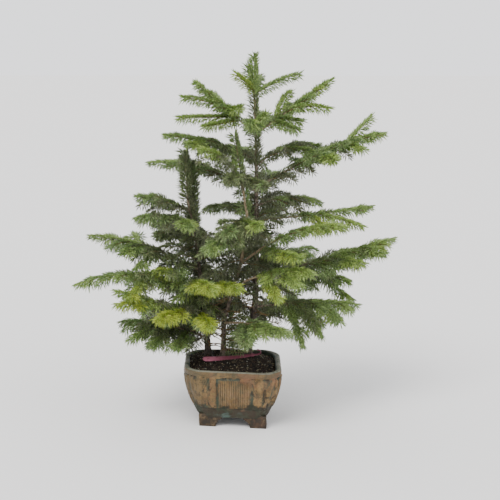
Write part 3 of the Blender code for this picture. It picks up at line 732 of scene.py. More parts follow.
rib = rib_stock()
ribs = made("pot_ribs", [(0, 0, 0)], [])
grown_by(ribs, rib_tree(), rib=rib, finish=stoneware("stoneware_ribs", "rib"))
bpy.data.objects.remove(rib, do_unlink=True)
field = bmesh.new()
field.from_mesh(ribs.data)
first = Vector(((PANEL_ACROSS[0] + PANEL_ACROSS[1] - RIB_PITCH * (RIB_COUNT - 1)) / 2, 0, 0))
bmesh.ops.translate(field, vec=first, verts=field.verts)
back = bmesh.ops.duplicate(field, geom=field.faces[:] + field.verts[:] + field.edges[:])
turned = [v for v in back["geom"] if isinstance(v, bmesh.types.BMVert)]
bmesh.ops.rotate(field, cent=(0, 0, 0), matrix=Matrix.Rotation(math.pi, 3, "Z"), verts=turned)
layer = field.verts.layers.float.new("relief")
for v in field.verts:
    grain = noise.noise(v.co * 160)
    v.co += Vector((0.25, 1.0, 0.0)) * RIB_WAVER * grain
    height = min(max(v.co.z, WALL_FOOT), RIM_TOP)
    wall = POT_HALF[1] - inset_at(height, WALL) * DEPTH_SHARE
    proud = smooth_step(wall - 0.0004, wall + 0.0007, abs(v.co.y))
    v[layer] = 0.12 + 0.80 * proud + 0.25 * grain
    v.co = POT_AT + in_plan(v.co)
field.to_mesh(ribs.data)
field.free()
ribs.data.shade_smooth()
fitted(ribs, "pot")


# POT FEET
# Four corner slabs of the same clay, cut with a curved inner edge and left almost unglazed. They
# are joined to the underside while it is soft.
FOOT_HIGH = 0.0190
FOOT_DEEP = 0.0260
FOOT_CORNER = (0.0500, 0.0465)
FOOT_ROUNDING = 0.0016
FOOT_GRAIN = 0.0022
FOOT_LUMPS = 0.0006
# The cut of a foot, from its outer corner inwards: how far in, and how high.
FOOT_CUT = (
    (0.0, 0.0),
    (0.0, FOOT_HIGH),
    (0.036, FOOT_HIGH),
    (0.035, 0.0135),
    (0.0285, 0.0085),
    (0.0255, 0.0040),
    (0.0245, 0.0),
)


def foot_block(work, side, end):
    rings = []
    for depth in (0.0, FOOT_DEEP):
        ring = []
        for inward, height in FOOT_CUT:
            x = side * (FOOT_CORNER[0] - inward)
            y = end * (FOOT_CORNER[1] - depth)
            ring.append(work.verts.new((x, y, height)))
        rings.append(ring)
    near, far = rings
    count = len(FOOT_CUT)
    for i in range(count):
        j = (i + 1) % count
        work.faces.new((near[i], near[j], far[j], far[i]))
    for ring in rings:
        work.faces.new(ring)


blocks = bmesh.new()
for side in (-1, 1):
    for end in (-1, 1):
        foot_block(blocks, side, end)
bmesh.ops.recalc_face_normals(blocks, faces=blocks.faces)
bmesh.ops.bevel(
    blocks, geom=blocks.edges[:], offset=FOOT_ROUNDING, segments=2, profile=0.6, affect="EDGES"
)
bmesh.ops.triangulate(blocks, faces=blocks.faces)
for turn in range(5):
    longest = [e for e in blocks.edges if e.calc_length() > FOOT_GRAIN]
    bmesh.ops.subdivide_edges(blocks, edges=longest, cuts=1)
    bmesh.ops.triangulate(blocks, faces=blocks.faces)
blocks.normal_update()
for v in blocks.verts:
    lift = smooth_step(0.0, 0.002, v.co.z)
    lump = noise.fractal(v.co * 150, 1.0, 2.0, 3)
    v.co += v.normal * FOOT_LUMPS * lump * lift
    v.co = POT_AT + in_plan(v.co)
feet = from_work("pot_feet", blocks, True)
feet.data.materials.append(stoneware("stoneware_feet", "foot"))
fitted(feet, "pot")


# SOIL
# A low mound of dark, gritty mix: fine bark crumbs, tan grains of fired clay and white perlite
# lying loose on damp humus, with the crumbs packed up against the inside of the pot.
SOIL_EDGE = 0.0800
SOIL_TOP = 0.0915
SOIL_UNDER = 0.072
SOIL_INSET = 0.0078
SOIL_INSET_UNDER = 0.0120
SOIL_GAP = 0.0005
SOIL_STEPS = 45
SOIL_ROUGH = 0.0010
MOUND_AT = (-0.008, 0.016)
MOUND_REACH = (0.066, 0.046)
CRUMBS_OVER = 0.0785
HUMUS = (0.010, 0.008, 0.007)
LOAM = (0.032, 0.022, 0.015)
GRIT = (0.16, 0.12, 0.085)
BARK_CRUMB, BARK_CRUMB_LIGHT = (0.011, 0.008, 0.006), (0.050, 0.032, 0.021)
CLAY_GRAIN, CLAY_GRAIN_LIGHT = (0.095, 0.080, 0.050), (0.26, 0.220, 0.140)
PERLITE, PERLITE_LIGHT = (0.22, 0.22, 0.18), (0.38, 0.38, 0.32)


def soil_height(x, y):
    """Height of the mound over the floor at a place counted from the middle of the pot."""
    spread = math.hypot((x - MOUND_AT[0]) / MOUND_REACH[0], (y - MOUND_AT[1]) / MOUND_REACH[1])
    fall = smooth_step(0.55, 1.35, spread)
    rough = noise.fractal(Vector((x, y, 0.0)) * 60, 1.0, 2.0, 4)
    return SOIL_TOP - (SOIL_TOP - SOIL_EDGE) * fall + SOIL_ROUGH * rough


brink = [in_plan(place) for place, out in wall_ring(SOIL_INSET, SOIL_GAP)[::2]]
soil_rings = []
for step in range(SOIL_STEPS + 1):
    share = max(step / SOIL_STEPS, 0.004)
    ring = []
    for edge in brink:
        x = MOUND_AT[0] * (1 - share) + edge.x * share
        y = MOUND_AT[1] * (1 - share) + edge.y * share
        ring.append(POT_AT + Vector((x, y, soil_height(x, y))))
    soil_rings.append(ring)
soil_rings.append(plain_ring(SOIL_INSET_UNDER, SOIL_UNDER, SOIL_GAP)[::2])
soil = made("soil_mound", *lofted(soil_rings))

humus = Finish("damp_humus", 0.9, 0.25)
humus.base(humus.patches(160, 0.40, 0.62), HUMUS, LOAM)
humus.lay(humus.patches(620, 0.62, 0.72, 2.0), GRIT)
humus.colour()
humus.gloss(0.70, 1.0, 240, 0.3, 0.7)
clods, grains = humus.patches(300, 0.3, 0.7, 6.0), humus.patches(1100, 0.3, 0.7)
humus.bumps((clods, 0.8, 0.0010), (grains, 0.5, 0.0004))
soil.data.materials.append(humus.material)
fitted(soil, "soil", "soil")


def crumb_tree():
    tree, start, end = tree_with(
        "loose crumbs",
        (
            ("Crumb", "Object", None),
            ("Density", "Float", 60000.0),
            ("Smallest", "Float", 0.0008),
            ("Largest", "Float", 0.0022),
            ("Flatness", "Float", 0.6),
            ("Seed", "Int", 1),
            ("Finish", "Material", None),
        ),
    )
    strewn = add(tree, "GeometryNodeDistributePointsOnFaces")
    size = add(tree, "FunctionNodeRandomValue", data_type="FLOAT")
    spin = add(tree, "FunctionNodeRandomValue", data_type="FLOAT_VECTOR")
    spin.inputs[0].default_value = (-0.5, -0.5, 0.0)
    spin.inputs[1].default_value = (0.5, 0.5, math.tau)
    flat = add(tree, "ShaderNodeMath", operation="MULTIPLY")
    shape = add(tree, "ShaderNodeCombineXYZ")
    wire(
        tree,
        (start.outputs["Geometry"], strewn.inputs["Mesh"]),
        (start.outputs["Density"], strewn.inputs["Density"]),
        (start.outputs["Seed"], strewn.inputs["Seed"]),
        (start.outputs["Smallest"], size.inputs[2]),
        (start.outputs["Largest"], size.inputs[3]),
        (start.outputs["Seed"], size.inputs["Seed"]),
        (start.outputs["Seed"], spin.inputs["Seed"]),
        (size.outputs[1], shape.inputs["X"]),
        (size.outputs[1], shape.inputs["Y"]),
        (size.outputs[1], flat.inputs[0]),
        (start.outputs["Flatness"], flat.inputs[1]),
        (flat.outputs[0], shape.inputs["Z"]),
    )
    points = strewn.outputs["Points"]
    return repeated(tree, start, end, "Crumb", points, shape.outputs[0], spin.outputs[0])


def crumb_stock(seed, long):
    """An angular lump of half a unit's reach."""
    work = bmesh.new()
    bmesh.ops.create_icosphere(work, subdivisions=2, radius=0.5)
    for v in work.verts:
        v.co *= 1.0 + 0.55 * noise.noise(v.co * 2.6 + Vector((seed, 0, 0)))
        v.co.x *= long
    return from_work("crumb_stock", work)


def grain_finish(name, dark, light, scale, roughness):
    finish = Finish(name, roughness, 0.3)
    finish.base(finish.patches(scale, 0.38, 0.62, 2.0), dark, light)
    finish.colour()
    finish.gloss(roughness - 0.12, 1.0, scale * 2, 0.3, 0.7)
    finish.bumps((finish.patches(scale * 5, 0.3, 0.7), 0.6, 0.0004))
    return finish.material


# Name, shape of the lump, how long it is for its width, how many to a square metre, smallest and
# largest, flatness, and dark and light colours.
CRUMB_KINDS = (
    ("soil_bark_crumbs", 7.3, 1.7, 52000.0, 0.0010, 0.0036, 0.55, BARK_CRUMB, BARK_CRUMB_LIGHT),
    ("soil_clay_grains", 2.1, 1.1, 44000.0, 0.0008, 0.0024, 0.80, CLAY_GRAIN, CLAY_GRAIN_LIGHT),
    ("soil_perlite", 4.6, 1.0, 9000.0, 0.0008, 0.0017, 0.85, PERLITE, PERLITE_LIGHT),
)
crumbs = crumb_tree()
soil_top = soil.data.copy()
for number, (name, shape, long, density, small, large, flat, dark, light) in enumerate(CRUMB_KINDS):
    stock = crumb_stock(shape, long)
    scattered = stood(name, soil_top.copy())
    grown_by(
        scattered,
        crumbs,
        crumb=stock,
        density=density,
        smallest=small,
        largest=large,
        flatness=flat,
        seed=number + 3,
        finish=grain_finish(name + "_skin", dark, light, 420, 0.85),
    )
    bpy.data.objects.remove(stock, do_unlink=True)
    kept = bmesh.new()
    kept.from_mesh(scattered.data)
    low = [v for v in kept.verts if v.co.z < CRUMBS_OVER]
    bmesh.ops.delete(kept, geom=low, context="VERTS")
    kept.to_mesh(scattered.data)
    kept.free()
    scattered.data.shade_flat()
    fitted(scattered, "soil")


# TRUNKS
# Three young stems out of the same mound, each with a slight flare at the root. Old bark is
# grey-brown and breaks into thin scales; higher up it is smooth, brown and pegged by needle bases.
TRUNKS = {
    "tall": (
        (0.0, 0.020, 0.030),
        (0.052, 0.027, 0.029),
        (0.090, 0.032, 0.029),
        (0.152, 0.032, 0.028),
        (0.212, 0.033, 0.028),
        (0.271, 0.033, 0.028),
        (0.331, 0.032, 0.029),
        (0.385, 0.030, 0.030),
    ),
    "middle": (
        (0.0, -0.015, 0.011),
        (0.056, -0.013, 0.008),
        (0.081, -0.006, 0.006),
        (0.103, -0.001, 0.004),
        (0.138, 0.011, 0.000),
        (0.179, 0.018, -0.002),
        (0.216, 0.022, -0.004),
        (0.234, 0.019, -0.004),
        (0.270, 0.015, -0.005),
    ),
    "left": (
        (0.0, -0.039, 0.019),
        (0.030, -0.041, 0.017),
        (0.116, -0.049, 0.015),
        (0.156, -0.053, 0.012),
        (0.198, -0.058, 0.010),
        (0.218, -0.063, 0.009),
        (0.236, -0.066, 0.008),
    ),
}
# Per stem: half thickness at the soil and at the tip, the heights over which the bark turns
# young, and how dark the painted shade at its foot is.
GIRTH = {"tall": (0.0056, 0.0015), "middle": (0.0044, 0.0014), "left": (0.0047, 0.0017)}
YOUNG_FROM = {"tall": (0.27, 0.40), "middle": (0.10, 0.17), "left": (0.18, 0.30)}
SHADE_AT_FOOT = {"tall": 0.50, "middle": 0.15, "left": 0.75}
FLARE = 0.0020
FLARE_HIGH = 0.0090
LOBES_HIGH = 0.007
STEM_FOOT = SOIL_TOP + 0.0003
TRUNK_SIDES = 36
TRUNK_PITCH = 0.0011
TRUNK_SUNK = 0.004


def trunk_at(name, height):
    """Centre of a trunk at a height over the soil, on a smooth curve through its stations."""
    stations = TRUNKS[name]
    last = len(stations) - 1
    height = min(max(height, 0.0), stations[last][0])
    i = next(i for i in range(last) if height <= stations[i + 1][0])
    a, b = stations[i], stations[i + 1]
    before = stations[max(i - 1, 0)]
    after = stations[min(i + 2, last)]
    span = b[0] - a[0]
    spot = []
    for axis in (1, 2):
        slope_a = (b[axis] - before[axis]) / (b[0] - before[0]) * span
        slope_b = (after[axis] - a[axis]) / (after[0] - a[0]) * span
        spot.append(curved((height - a[0]) / span, a[axis], b[axis], slope_a, slope_b))
    return Vector((*spot, STEM_FOOT + height))


def trunk_radius(name, height):
    """Half thickness of a trunk, which flares at its root and tapers all the way up."""
    base, tip = GIRTH[name]
    height = max(height, 0.0)
    share = height / TRUNKS[name][-1][0]
    return base + (tip - base) * share**0.85 + FLARE * math.exp(-height / FLARE_HIGH)


def scaly(point, height, radius):
    """How far the bark stands out at a place: scales low down, pegs and ridges higher up."""
    stretched = Vector((point.x * 330, point.y * 330, point.z * 150))
    near, far = noise.voronoi(stretched)[0][:2]
    plate = smooth_step(0.0, 0.35, far - near)
    age = 1 - smooth_step(0.06, 0.30, height)
    fine = noise.fractal(Vector((point.x * 900, point.y * 900, point.z * 260)), 1.0, 2.1, 3)
    lump = noise.noise(point * 120)
    return radius * ((0.16 * plate - 0.10) * age + 0.07 * fine + 0.04 * age * lump)


BARK_DARK = (0.057, 0.046, 0.035)
BARK_GREY = (0.222, 0.176, 0.134)
BARK_BROWN = (0.205, 0.144, 0.088)
BARK_YOUNG = (0.420, 0.330, 0.208)
BARK_PAINTED_SHADE = (0.024, 0.020, 0.017)
LICHEN = (0.17, 0.19, 0.15)


def bark_finish():
    finish = Finish("old_bark", 0.85, 0.3)
    along = finish.stretched(1.0, 1.0, 0.4)
    old = finish.blended(finish.patches(420, 0.40, 0.60, 6.0, along), BARK_DARK, BARK_GREY)
    young = finish.blended(finish.patches(520, 0.35, 0.65, 5.0, along), BARK_BROWN, BARK_YOUNG)
    finish.base(finish.drawn("age"), young, old)
    finish.lay(finish.patches(130, 0.66, 0.76, 6.0), LICHEN, 0.45)
    # Painted shade darkens the foot of each stem, under the crown.
    finish.lay(finish.drawn("damp"), BARK_PAINTED_SHADE)
    finish.colour()
    finish.gloss(0.68, 0.98, 300, 0.3, 0.7)
    finish.bumps((finish.patches(700, 0.3, 0.7, 6.0, along), 0.7, 0.0005))
    return finish.material


old_bark = bark_finish()
for name, stations in TRUNKS.items():
    top = stations[-1][0]
    steps = round(top / TRUNK_PITCH)
    rings, ages, shades_at_foot = [], [], []
    for i in range(steps + 1):
        height = -TRUNK_SUNK + (top + TRUNK_SUNK) * i / steps
        centre = trunk_at(name, height)
        centre.z = STEM_FOOT + height
        radius = trunk_radius(name, height)
        root = math.exp(-max(height, 0.0) / LOBES_HIGH)
        ring = []
        for side in range(TRUNK_SIDES):
            angle = math.tau * side / TRUNK_SIDES
            out = Vector((math.cos(angle), math.sin(angle), 0.0))
            lobes = 1 + 0.16 * root * math.sin(angle * 4 + len(name))
            lobes += 0.05 * math.sin(angle * 3 + height * 40)
            skin = centre + out * radius * lobes
            ring.append(POT_AT + skin + out * scaly(skin, height, radius))
        rings.append(ring)
        ages += [1 - smooth_step(*YOUNG_FROM[name], height)] * TRUNK_SIDES
        # Painted shade at the foot of the stem, fading out above it.
        shades_at_foot += [SHADE_AT_FOOT[name] * (1 - smooth_step(0.05, 0.16, height))] * TRUNK_SIDES
    trunk = made("bark_trunk_" + name, *lofted(rings))
    stored_on(trunk, "age", ages)
    stored_on(trunk, "damp", shades_at_foot)
    trunk.data.materials.append(old_bark)
    fitted(trunk, "bark", "trunk_" + name)


# BOUGHS
# Limbs leave the trunks in loose whorls. Each tapers from a small collar at the trunk, and its
# inner length is woody and dark; the first numbers are trunk, height, bearing, reach, rise, arch,
# bare share and length of the side shoots, and the last how yellow its young needles are.
BOUGHS = (
    ("tall_top", "tall", 0.385, 132, 0.001, 0.063, 0.0, 0.0, 0.020, 0.42),
    ("tall_2_left", "tall", 0.331, -162, 0.092, 0.077, 0.0, 0.24, 0.034, 0.50),
    ("tall_2_right", "tall", 0.331, 12, 0.116, 0.081, 0.0, 0.20, 0.034, 0.50),
    ("tall_2_front", "tall", 0.334, -90, 0.096, 0.021, 0.0, 0.10, 0.026, 0.50),
    ("tall_2_back", "tall", 0.331, 88, 0.100, 0.028, 0.0, 0.15, 0.034, 0.35),
    ("tall_3_right", "tall", 0.285, 31, 0.113, 0.021, 0.016, 0.20, 0.026, 0.45),
    ("tall_3_left", "tall", 0.294, -155, 0.142, 0.039, 0.006, 0.20, 0.030, 0.45),
    ("tall_3_back", "tall", 0.291, 103, 0.126, 0.011, 0.0, 0.20, 0.040, 0.35),
    ("tall_4_right", "tall", 0.250, 8, 0.193, 0.082, 0.012, 0.30, 0.046, 0.50),
    ("tall_4_left", "tall", 0.247, 168, 0.175, 0.037, 0.014, 0.36, 0.034, 0.50),
    ("tall_4_front", "tall", 0.253, -107, 0.115, 0.019, 0.012, 0.10, 0.030, 0.10),
    ("tall_4_back", "tall", 0.252, 83, 0.153, 0.009, 0.0, 0.20, 0.044, 0.35),
    ("tall_5_right", "tall", 0.225, 27, 0.109, -0.002, 0.011, 0.20, 0.026, 0.40),
    ("tall_5_side", "tall", 0.206, -2, 0.174, 0.022, -0.003, 0.30, 0.036, 0.50),
    ("tall_5_left", "tall", 0.213, 135, 0.131, -0.008, 0.009, 0.20, 0.040, 0.25),
    ("tall_5_back", "tall", 0.210, 73, 0.173, 0.010, 0.0, 0.20, 0.046, 0.30),
    ("tall_6_right", "tall", 0.116, 5, 0.210, 0.062, -0.001, 0.36, 0.046, 0.55),
    ("tall_6_back", "tall", 0.141, 64, 0.181, -0.002, 0.0, 0.20, 0.050, 0.30),
    ("tall_7_right", "tall", 0.072, 1, 0.159, 0.006, 0.006, 0.27, 0.050, 0.45),
    ("tall_7_upper", "tall", 0.095, 23, 0.157, 0.007, 0.016, 0.25, 0.040, 0.45),
    ("tall_7_back", "tall", 0.054, 67, 0.168, 0.011, 0.0, 0.20, 0.052, 0.30),
    ("tall_7_left", "tall", 0.069, 140, 0.145, -0.010, 0.003, 0.30, 0.044, 0.30),
    ("middle_top", "middle", 0.270, -175, 0.012, 0.067, 0.0, 0.0, 0.014, 0.30),
    ("middle_1_left", "middle", 0.253, -130, 0.084, 0.059, 0.018, 0.15, 0.026, 0.60),
    ("middle_2_front", "middle", 0.212, -102, 0.114, -0.011, 0.002, 0.10, 0.030, 0.18),
    ("middle_2_left", "middle", 0.172, -109, 0.122, 0.009, 0.011, 0.15, 0.026, 0.42),
    ("middle_right_high", "middle", 0.143, -14, 0.162, 0.061, 0.020, 0.18, 0.036, 0.62),
    ("middle_right_mid", "middle", 0.107, -36, 0.150, 0.042, 0.011, 0.35, 0.034, 0.68),
    ("middle_3_right", "middle", 0.052, -49, 0.154, 0.015, 0.005, 0.30, 0.036, 0.46),
    ("middle_3_left", "middle", 0.059, -145, 0.178, 0.063, -0.003, 0.20, 0.032, 0.66),
    ("middle_4_left", "middle", 0.065, -159, 0.225, 0.056, 0.035, 0.15, 0.038, 0.80),
    ("left_top", "left", 0.236, -175, 0.004, 0.075, 0.0, 0.0, 0.014, 0.12),
    ("left_twin", "left", 0.194, 102, 0.017, 0.101, 0.0, 0.20, 0.014, 0.12),
    ("left_1_left", "left", 0.219, -158, 0.081, 0.025, 0.004, 0.12, 0.028, 0.45),
    ("left_2_left", "left", 0.197, -139, 0.101, 0.019, 0.008, 0.15, 0.030, 0.48),
    ("left_2_back", "left", 0.176, 127, 0.116, 0.012, 0.0, 0.20, 0.044, 0.25),
    ("left_3_left", "left", 0.130, -165, 0.164, 0.057, 0.010, 0.30, 0.044, 0.38),
    ("left_5_left", "left", 0.099, -132, 0.094, 0.041, 0.011, 0.15, 0.030, 0.74),
    ("left_6_left", "left", 0.025, -168, 0.132, 0.029, 0.010, 0.19, 0.044, 0.22),
    ("left_6_back", "left", 0.034, 134, 0.153, 0.023, 0.0, 0.20, 0.050, 0.25),
)
STEEP_REACH = 0.0135
# Boughs of pale young bark, and the share of its length over which a bough is bark.
PALE_BOUGHS = ("middle_right_high", "middle_right_mid", "middle_3_right")
WOODY = 0.62
BOUGH_SIDES = 10
BOUGH_PITCH = 0.0016
BOUGH_THINNEST = 0.0007
COLLAR_LONG = 0.003


def line_of(start, bearing, reach, rise, arch):
    """A limb's centre line as a function of its share of length. A steep fork leaves sideways
    and then turns up beside its leader."""
    angle = math.radians(bearing)
    out = Vector((math.cos(angle), math.sin(angle), 0.0))
    steep = STEEP_REACH < reach < rise / 2

    def at(t):
        away = 1 - (1 - t) ** 3 if steep else t
        return start + out * (reach * away) + Vector((0, 0, rise * t + arch * 4 * t * (1 - t)))

    return at


def length_of(at, a=0.0, b=1.0):
    """The length of a centre line between two shares."""
    marks = [at(a + (b - a) * i / 12) for i in range(13)]
    return sum((q - p).length for p, q in zip(marks, marks[1:]))


def clear_of(ahead):
    """The upward direction, or another one where a limb itself runs upwards."""
    return Vector((0, 0, 1)) if abs(ahead.z) < 0.9 else Vector((0, 1, 0))


def bark_tube(at, thick, thin, seed):
    """Rings of a rough tapering limb along the woody share of its centre line."""
    count = max(2, round(length_of(at, 0.0, WOODY) / BOUGH_PITCH))
    rings = []
    for i in range(count + 1):
        t = WOODY * i / count
        ahead = (at(t + 0.01) - at(t - 0.01)).normalized()
        side = ahead.cross(clear_of(ahead)).normalized()
        over = side.cross(ahead)
        radius = thick + (thin - thick) * i / count
        collar = 1 + 0.5 * math.exp(-(i * BOUGH_PITCH) / COLLAR_LONG)
        ring = []
        for k in range(BOUGH_SIDES):
            angle = math.tau * k / BOUGH_SIDES
            out = side * math.cos(angle) + over * math.sin(angle)
            skin = at(t) + out * radius * collar
            rough = noise.noise(Vector((seed, skin.z * 400, 0)) + skin * 700)
            ring.append(POT_AT + skin + out * radius * 0.16 * rough)
        rings.append(ring)
    return rings


def gathered(verts, faces, form):
    """Adds a lofted form to the points and faces of a piece."""
    base = len(verts)
    verts += form[0]
    faces += [tuple(base + i for i in face) for face in form[1]]


stems = {}
bough_verts, bough_faces, bough_ages = [], [], []
for number, (name, trunk, height, bearing, reach, rise, arch, *growth) in enumerate(BOUGHS):
    bare, spread, tone = growth
    at = line_of(trunk_at(trunk, height), bearing, reach, rise, arch)
    thick = min(0.0009 + 0.0065 * length_of(at), trunk_radius(trunk, height) * 0.8)
    stems[name] = (at, bare, spread, thick, tone)
    rings = bark_tube(at, thick, max(thick * 0.45, BOUGH_THINNEST), number)
    gathered(bough_verts, bough_faces, lofted(rings))
    old = 0.05 if name in PALE_BOUGHS else 0.9 if height < 0.3 else 0.6
    for i in range(len(rings)):
        bough_ages += [old * (1 - smooth_step(0.35, 0.95, i / len(rings)))] * BOUGH_SIDES
boughs = made("bark_boughs", bough_verts, bough_faces)
stored_on(boughs, "age", bough_ages)
boughs.data.materials.append(old_bark)
fitted(boughs, "bark", *(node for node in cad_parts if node.startswith("bough_")))


# TWIGS
# Each bough forks and sends out side shoots in a flat spray, and these branch once more near the
# tips. Young wood is orange-tan and finely grooved, and is seen where the needles part.

# A fork's numbers are the share of its bough where it leaves, bearing, reach, rise, arch, length
# of its side shoots and tone.
FORKS = {
    "tall_top": (
        (0.10, -145, 0.034, 0.028, 0.002, 0.008, 0.75),
        (0.26, 136, 0.014, 0.031, 0.0, 0.006, 0.40),
        (0.05, 7, 0.069, 0.030, 0.004, 0.010, 0.50),
        (0.18, 85, 0.060, 0.018, 0.0, 0.008, 0.30),
    ),
    "tall_2_left": (
        (0.42, -147, 0.078, 0.022, 0.005, 0.022, 0.55),
        (0.33, -142, 0.099, 0.001, 0.0, 0.024, 0.60),
        (0.27, -119, 0.091, -0.006, 0.0, 0.020, 0.60),
        (0.44, -67, 0.065, 0.009, 0.0, 0.014, 0.60),
        (0.51, 116, 0.053, 0.020, 0.0, 0.018, 0.40),
    ),
    "tall_2_right": (
        (0.45, -23, 0.064, 0.0, 0.004, 0.020, 0.60),
        (0.25, 52, 0.035, 0.039, 0.009, 0.014, 0.70),
        (0.28, -51, 0.062, -0.002, 0.0, 0.018, 0.50),
        (0.23, -62, 0.086, -0.009, 0.0, 0.014, 0.50),
        (0.44, 97, 0.058, 0.006, 0.0, 0.014, 0.40),
    ),
    "tall_2_front": ((0.29, -64, 0.046, 0.025, 0.0, 0.016, 0.55),),
    "tall_3_right": ((0.42, -15, 0.048, -0.004, 0.0, 0.014, 0.45),),
    "tall_3_left": ((0.45, -126, 0.062, 0.004, 0.0, 0.020, 0.58),),
    "tall_4_right": (
        (0.68, 39, 0.051, 0.040, 0.0, 0.018, 0.55),
        (0.66, -42, 0.040, -0.004, 0.0, 0.018, 0.60),
        (0.47, -63, 0.062, -0.004, 0.0, 0.020, 0.60),
        (0.33, 93, 0.072, -0.001, 0.0, 0.024, 0.30),
    ),
    "tall_4_left": ((0.50, 123, 0.090, 0.004, 0.0, 0.020, 0.30),),
    "tall_4_front": ((0.29, -65, 0.079, -0.002, 0.0, 0.020, 0.15),),
    "tall_5_side": (
        (0.56, -16, 0.066, -0.016, 0.0, 0.020, 0.60),
        (0.46, -66, 0.066, -0.014, 0.0, 0.022, 0.75),
    ),
    "tall_6_right": (
        (0.67, -23, 0.058, 0.003, 0.0, 0.018, 0.55),
        (0.53, -44, 0.073, 0.001, 0.0, 0.024, 0.60),
    ),
    "tall_7_right": (
        (0.61, -51, 0.047, -0.021, 0.0, 0.024, 0.45),
        (0.40, -53, 0.067, -0.040, 0.003, 0.026, 0.45),
        (0.30, -58, 0.054, -0.057, 0.005, 0.024, 0.45),
    ),
    "tall_7_upper": ((0.64, 8, 0.056, -0.039, -0.002, 0.022, 0.50),),
    "middle_2_front": ((0.27, -62, 0.076, 0.005, 0.0, 0.020, 0.68),),
    "middle_right_high": ((0.20, -55, 0.108, 0.004, -0.001, 0.024, 0.66),),
    "middle_right_mid": (
        (0.40, -70, 0.082, -0.022, 0.002, 0.016, 0.84),
        (0.60, -66, 0.068, -0.007, 0.0, 0.022, 0.66),
    ),
    "middle_3_right": ((0.36, -85, 0.090, -0.008, 0.0, 0.020, 0.24),),
    "middle_3_left": (
        (0.59, -134, 0.078, 0.011, 0.0, 0.022, 0.90),
        (0.31, -108, 0.110, 0.012, 0.003, 0.026, 1.00),
        (0.24, -74, 0.124, 0.010, 0.0, 0.020, 0.90),
    ),
    "middle_4_left": (
        (0.26, -65, 0.135, 0.023, 0.011, 0.024, 0.82),
        (0.17, -55, 0.129, 0.034, 0.012, 0.020, 0.80),
        (0.50, -106, 0.071, -0.017, 0.0, 0.020, 0.80),
    ),
    "left_2_left": ((0.25, -70, 0.088, 0.004, 0.0, 0.020, 0.55),),
    "left_3_left": (
        (0.45, -122, 0.064, 0.003, 0.0, 0.020, 0.42),
        (0.36, -114, 0.066, -0.015, 0.0, 0.024, 0.45),
        (0.53, 117, 0.034, 0.014, 0.0, 0.022, 0.40),
    ),
    "left_6_left": (
        (0.55, -126, 0.056, -0.014, 0.0, 0.024, 0.40),
        (0.36, -113, 0.068, -0.014, 0.0, 0.026, 0.40),
        (0.21, -95, 0.079, -0.006, 0.0, 0.022, 0.40),
    ),
}
# How long needles are at the top and at the foot of the crown, and how high the crown is.
NEEDLE_TOP = 0.0112
NEEDLE_LOW = 0.0172
CROWN_HIGH = 0.45
SHOOT_PITCH = 0.0165
SHOOT_ANGLE = math.radians(50)
SHOOTS_END = 0.90
SHORTEST_SIDE = 0.009
BRANCHING_FROM = 0.033
SPRAY_STEP = 0.005
THINNEST = 0.00042
SHOOT_THICK = 0.0009
OLD_THICK = 0.0008
LOW_THICK = 0.0010
DEAD_THICK = 0.0013
GOLDEN_TURN = 2.39996


def needle_long(height):
    """Length of the needles at a height: longest low down."""
    share = min(max((height - SOIL_TOP) / CROWN_HIGH, 0.0), 1.0)
    return NEEDLE_LOW + (NEEDLE_TOP - NEEDLE_LOW) * share**0.8


def needle_hang(height):
    """How far needles sink under their own weight: more on the long soft ones low down."""
    return 0.34 - 0.28 * smooth_step(0.15, 0.42, height)


sprays = []


def spray(mass, at, start, end, tone, girth, long=1.0, lean=1.0, wood=True, hang=None, blunt=1.0):
    """Notes one needled length: its points, their girth, and how its needles grow. The wood ends
    short of the tip, which the last needles reach. A dead shoot has no tone and no needles."""
    whole = length_of(at, start, end)
    if wood:
        end -= (end - start) * min(0.45 * needle_long(at(end).z) * long / whole, 0.4)
    count = max(4, round(whole / SPRAY_STEP))
    spots = []
    for i in range(count + 1):
        share = i / count
        point = at(start + (end - start) * share)
        taper = 1 - 0.28 * smooth_step(0.75, 1.0, share) if wood else 1.0
        spread = lean * (1 + 0.16 * (1 - smooth_step(0.10, 0.26, point.z)))
        reach = needle_long(point.z) * long * taper
        fall = needle_hang(point.z) if hang is None else hang
        bud = share * blunt if wood else 0.3
        spots.append((POT_AT + point, girth(share), reach, bud, spread, fall))
    sprays.append((mass, spots, tone, wood))


def tapering(thick):
    """The girth of a shoot as a function of its share of length."""
    return lambda share: max(thick * (1 - 0.72 * share), THINNEST)


def limb_girth(thick):
    """The girth of a limb's woody part, under the needles that still sit on it."""
    return lambda share: thick * (0.98 - 0.50 * share)


def side_line(at, t, way, long, lift, droop):
    """A side shoot's centre line: out at the shoot angle, then bending towards the tip."""
    ahead = (at(t + 0.02) - at(t - 0.02)).normalized()
    up = clear_of(ahead)
    across = ahead.cross(up).normalized() * way
    root = at(t)
    aim = ahead * math.cos(SHOOT_ANGLE) + across * math.sin(SHOOT_ANGLE)
    aim = (aim + up * lift).normalized()

    def line(s):
        bend = ahead * (long * 0.16 * s * s) - Vector((0, 0, long * droop * s * s))
        return root + aim * (long * s) + bend

    return line


# Limbs whose shoots stay short, shaded by their neighbours: side of the limb (0 is both), share
# of its length as far as which they do, and how long these shoots still grow.
STUNTED = {
    "tall_3_back": (1, 1.0, 0.60),
    "tall_4_back": (1, 0.85, 0.30),
    "tall_5_back": (0, 0.90, 0.42),
    "tall_5_side": (-1, 0.55, 0.50),
}
# Limbs whose tips are darkened as painted shade, darker than their inner shoots.
SHADED_TIPS = ("middle_4_left",)


def grown_share(mass, way, t=0.0):
    """How long a side shoot grows, as a share of what it would without its neighbours."""
    side, as_far, share = STUNTED.get(mass, (0, 0.0, 1.0))
    return share if side in (0, way) and t < as_far else 1.0


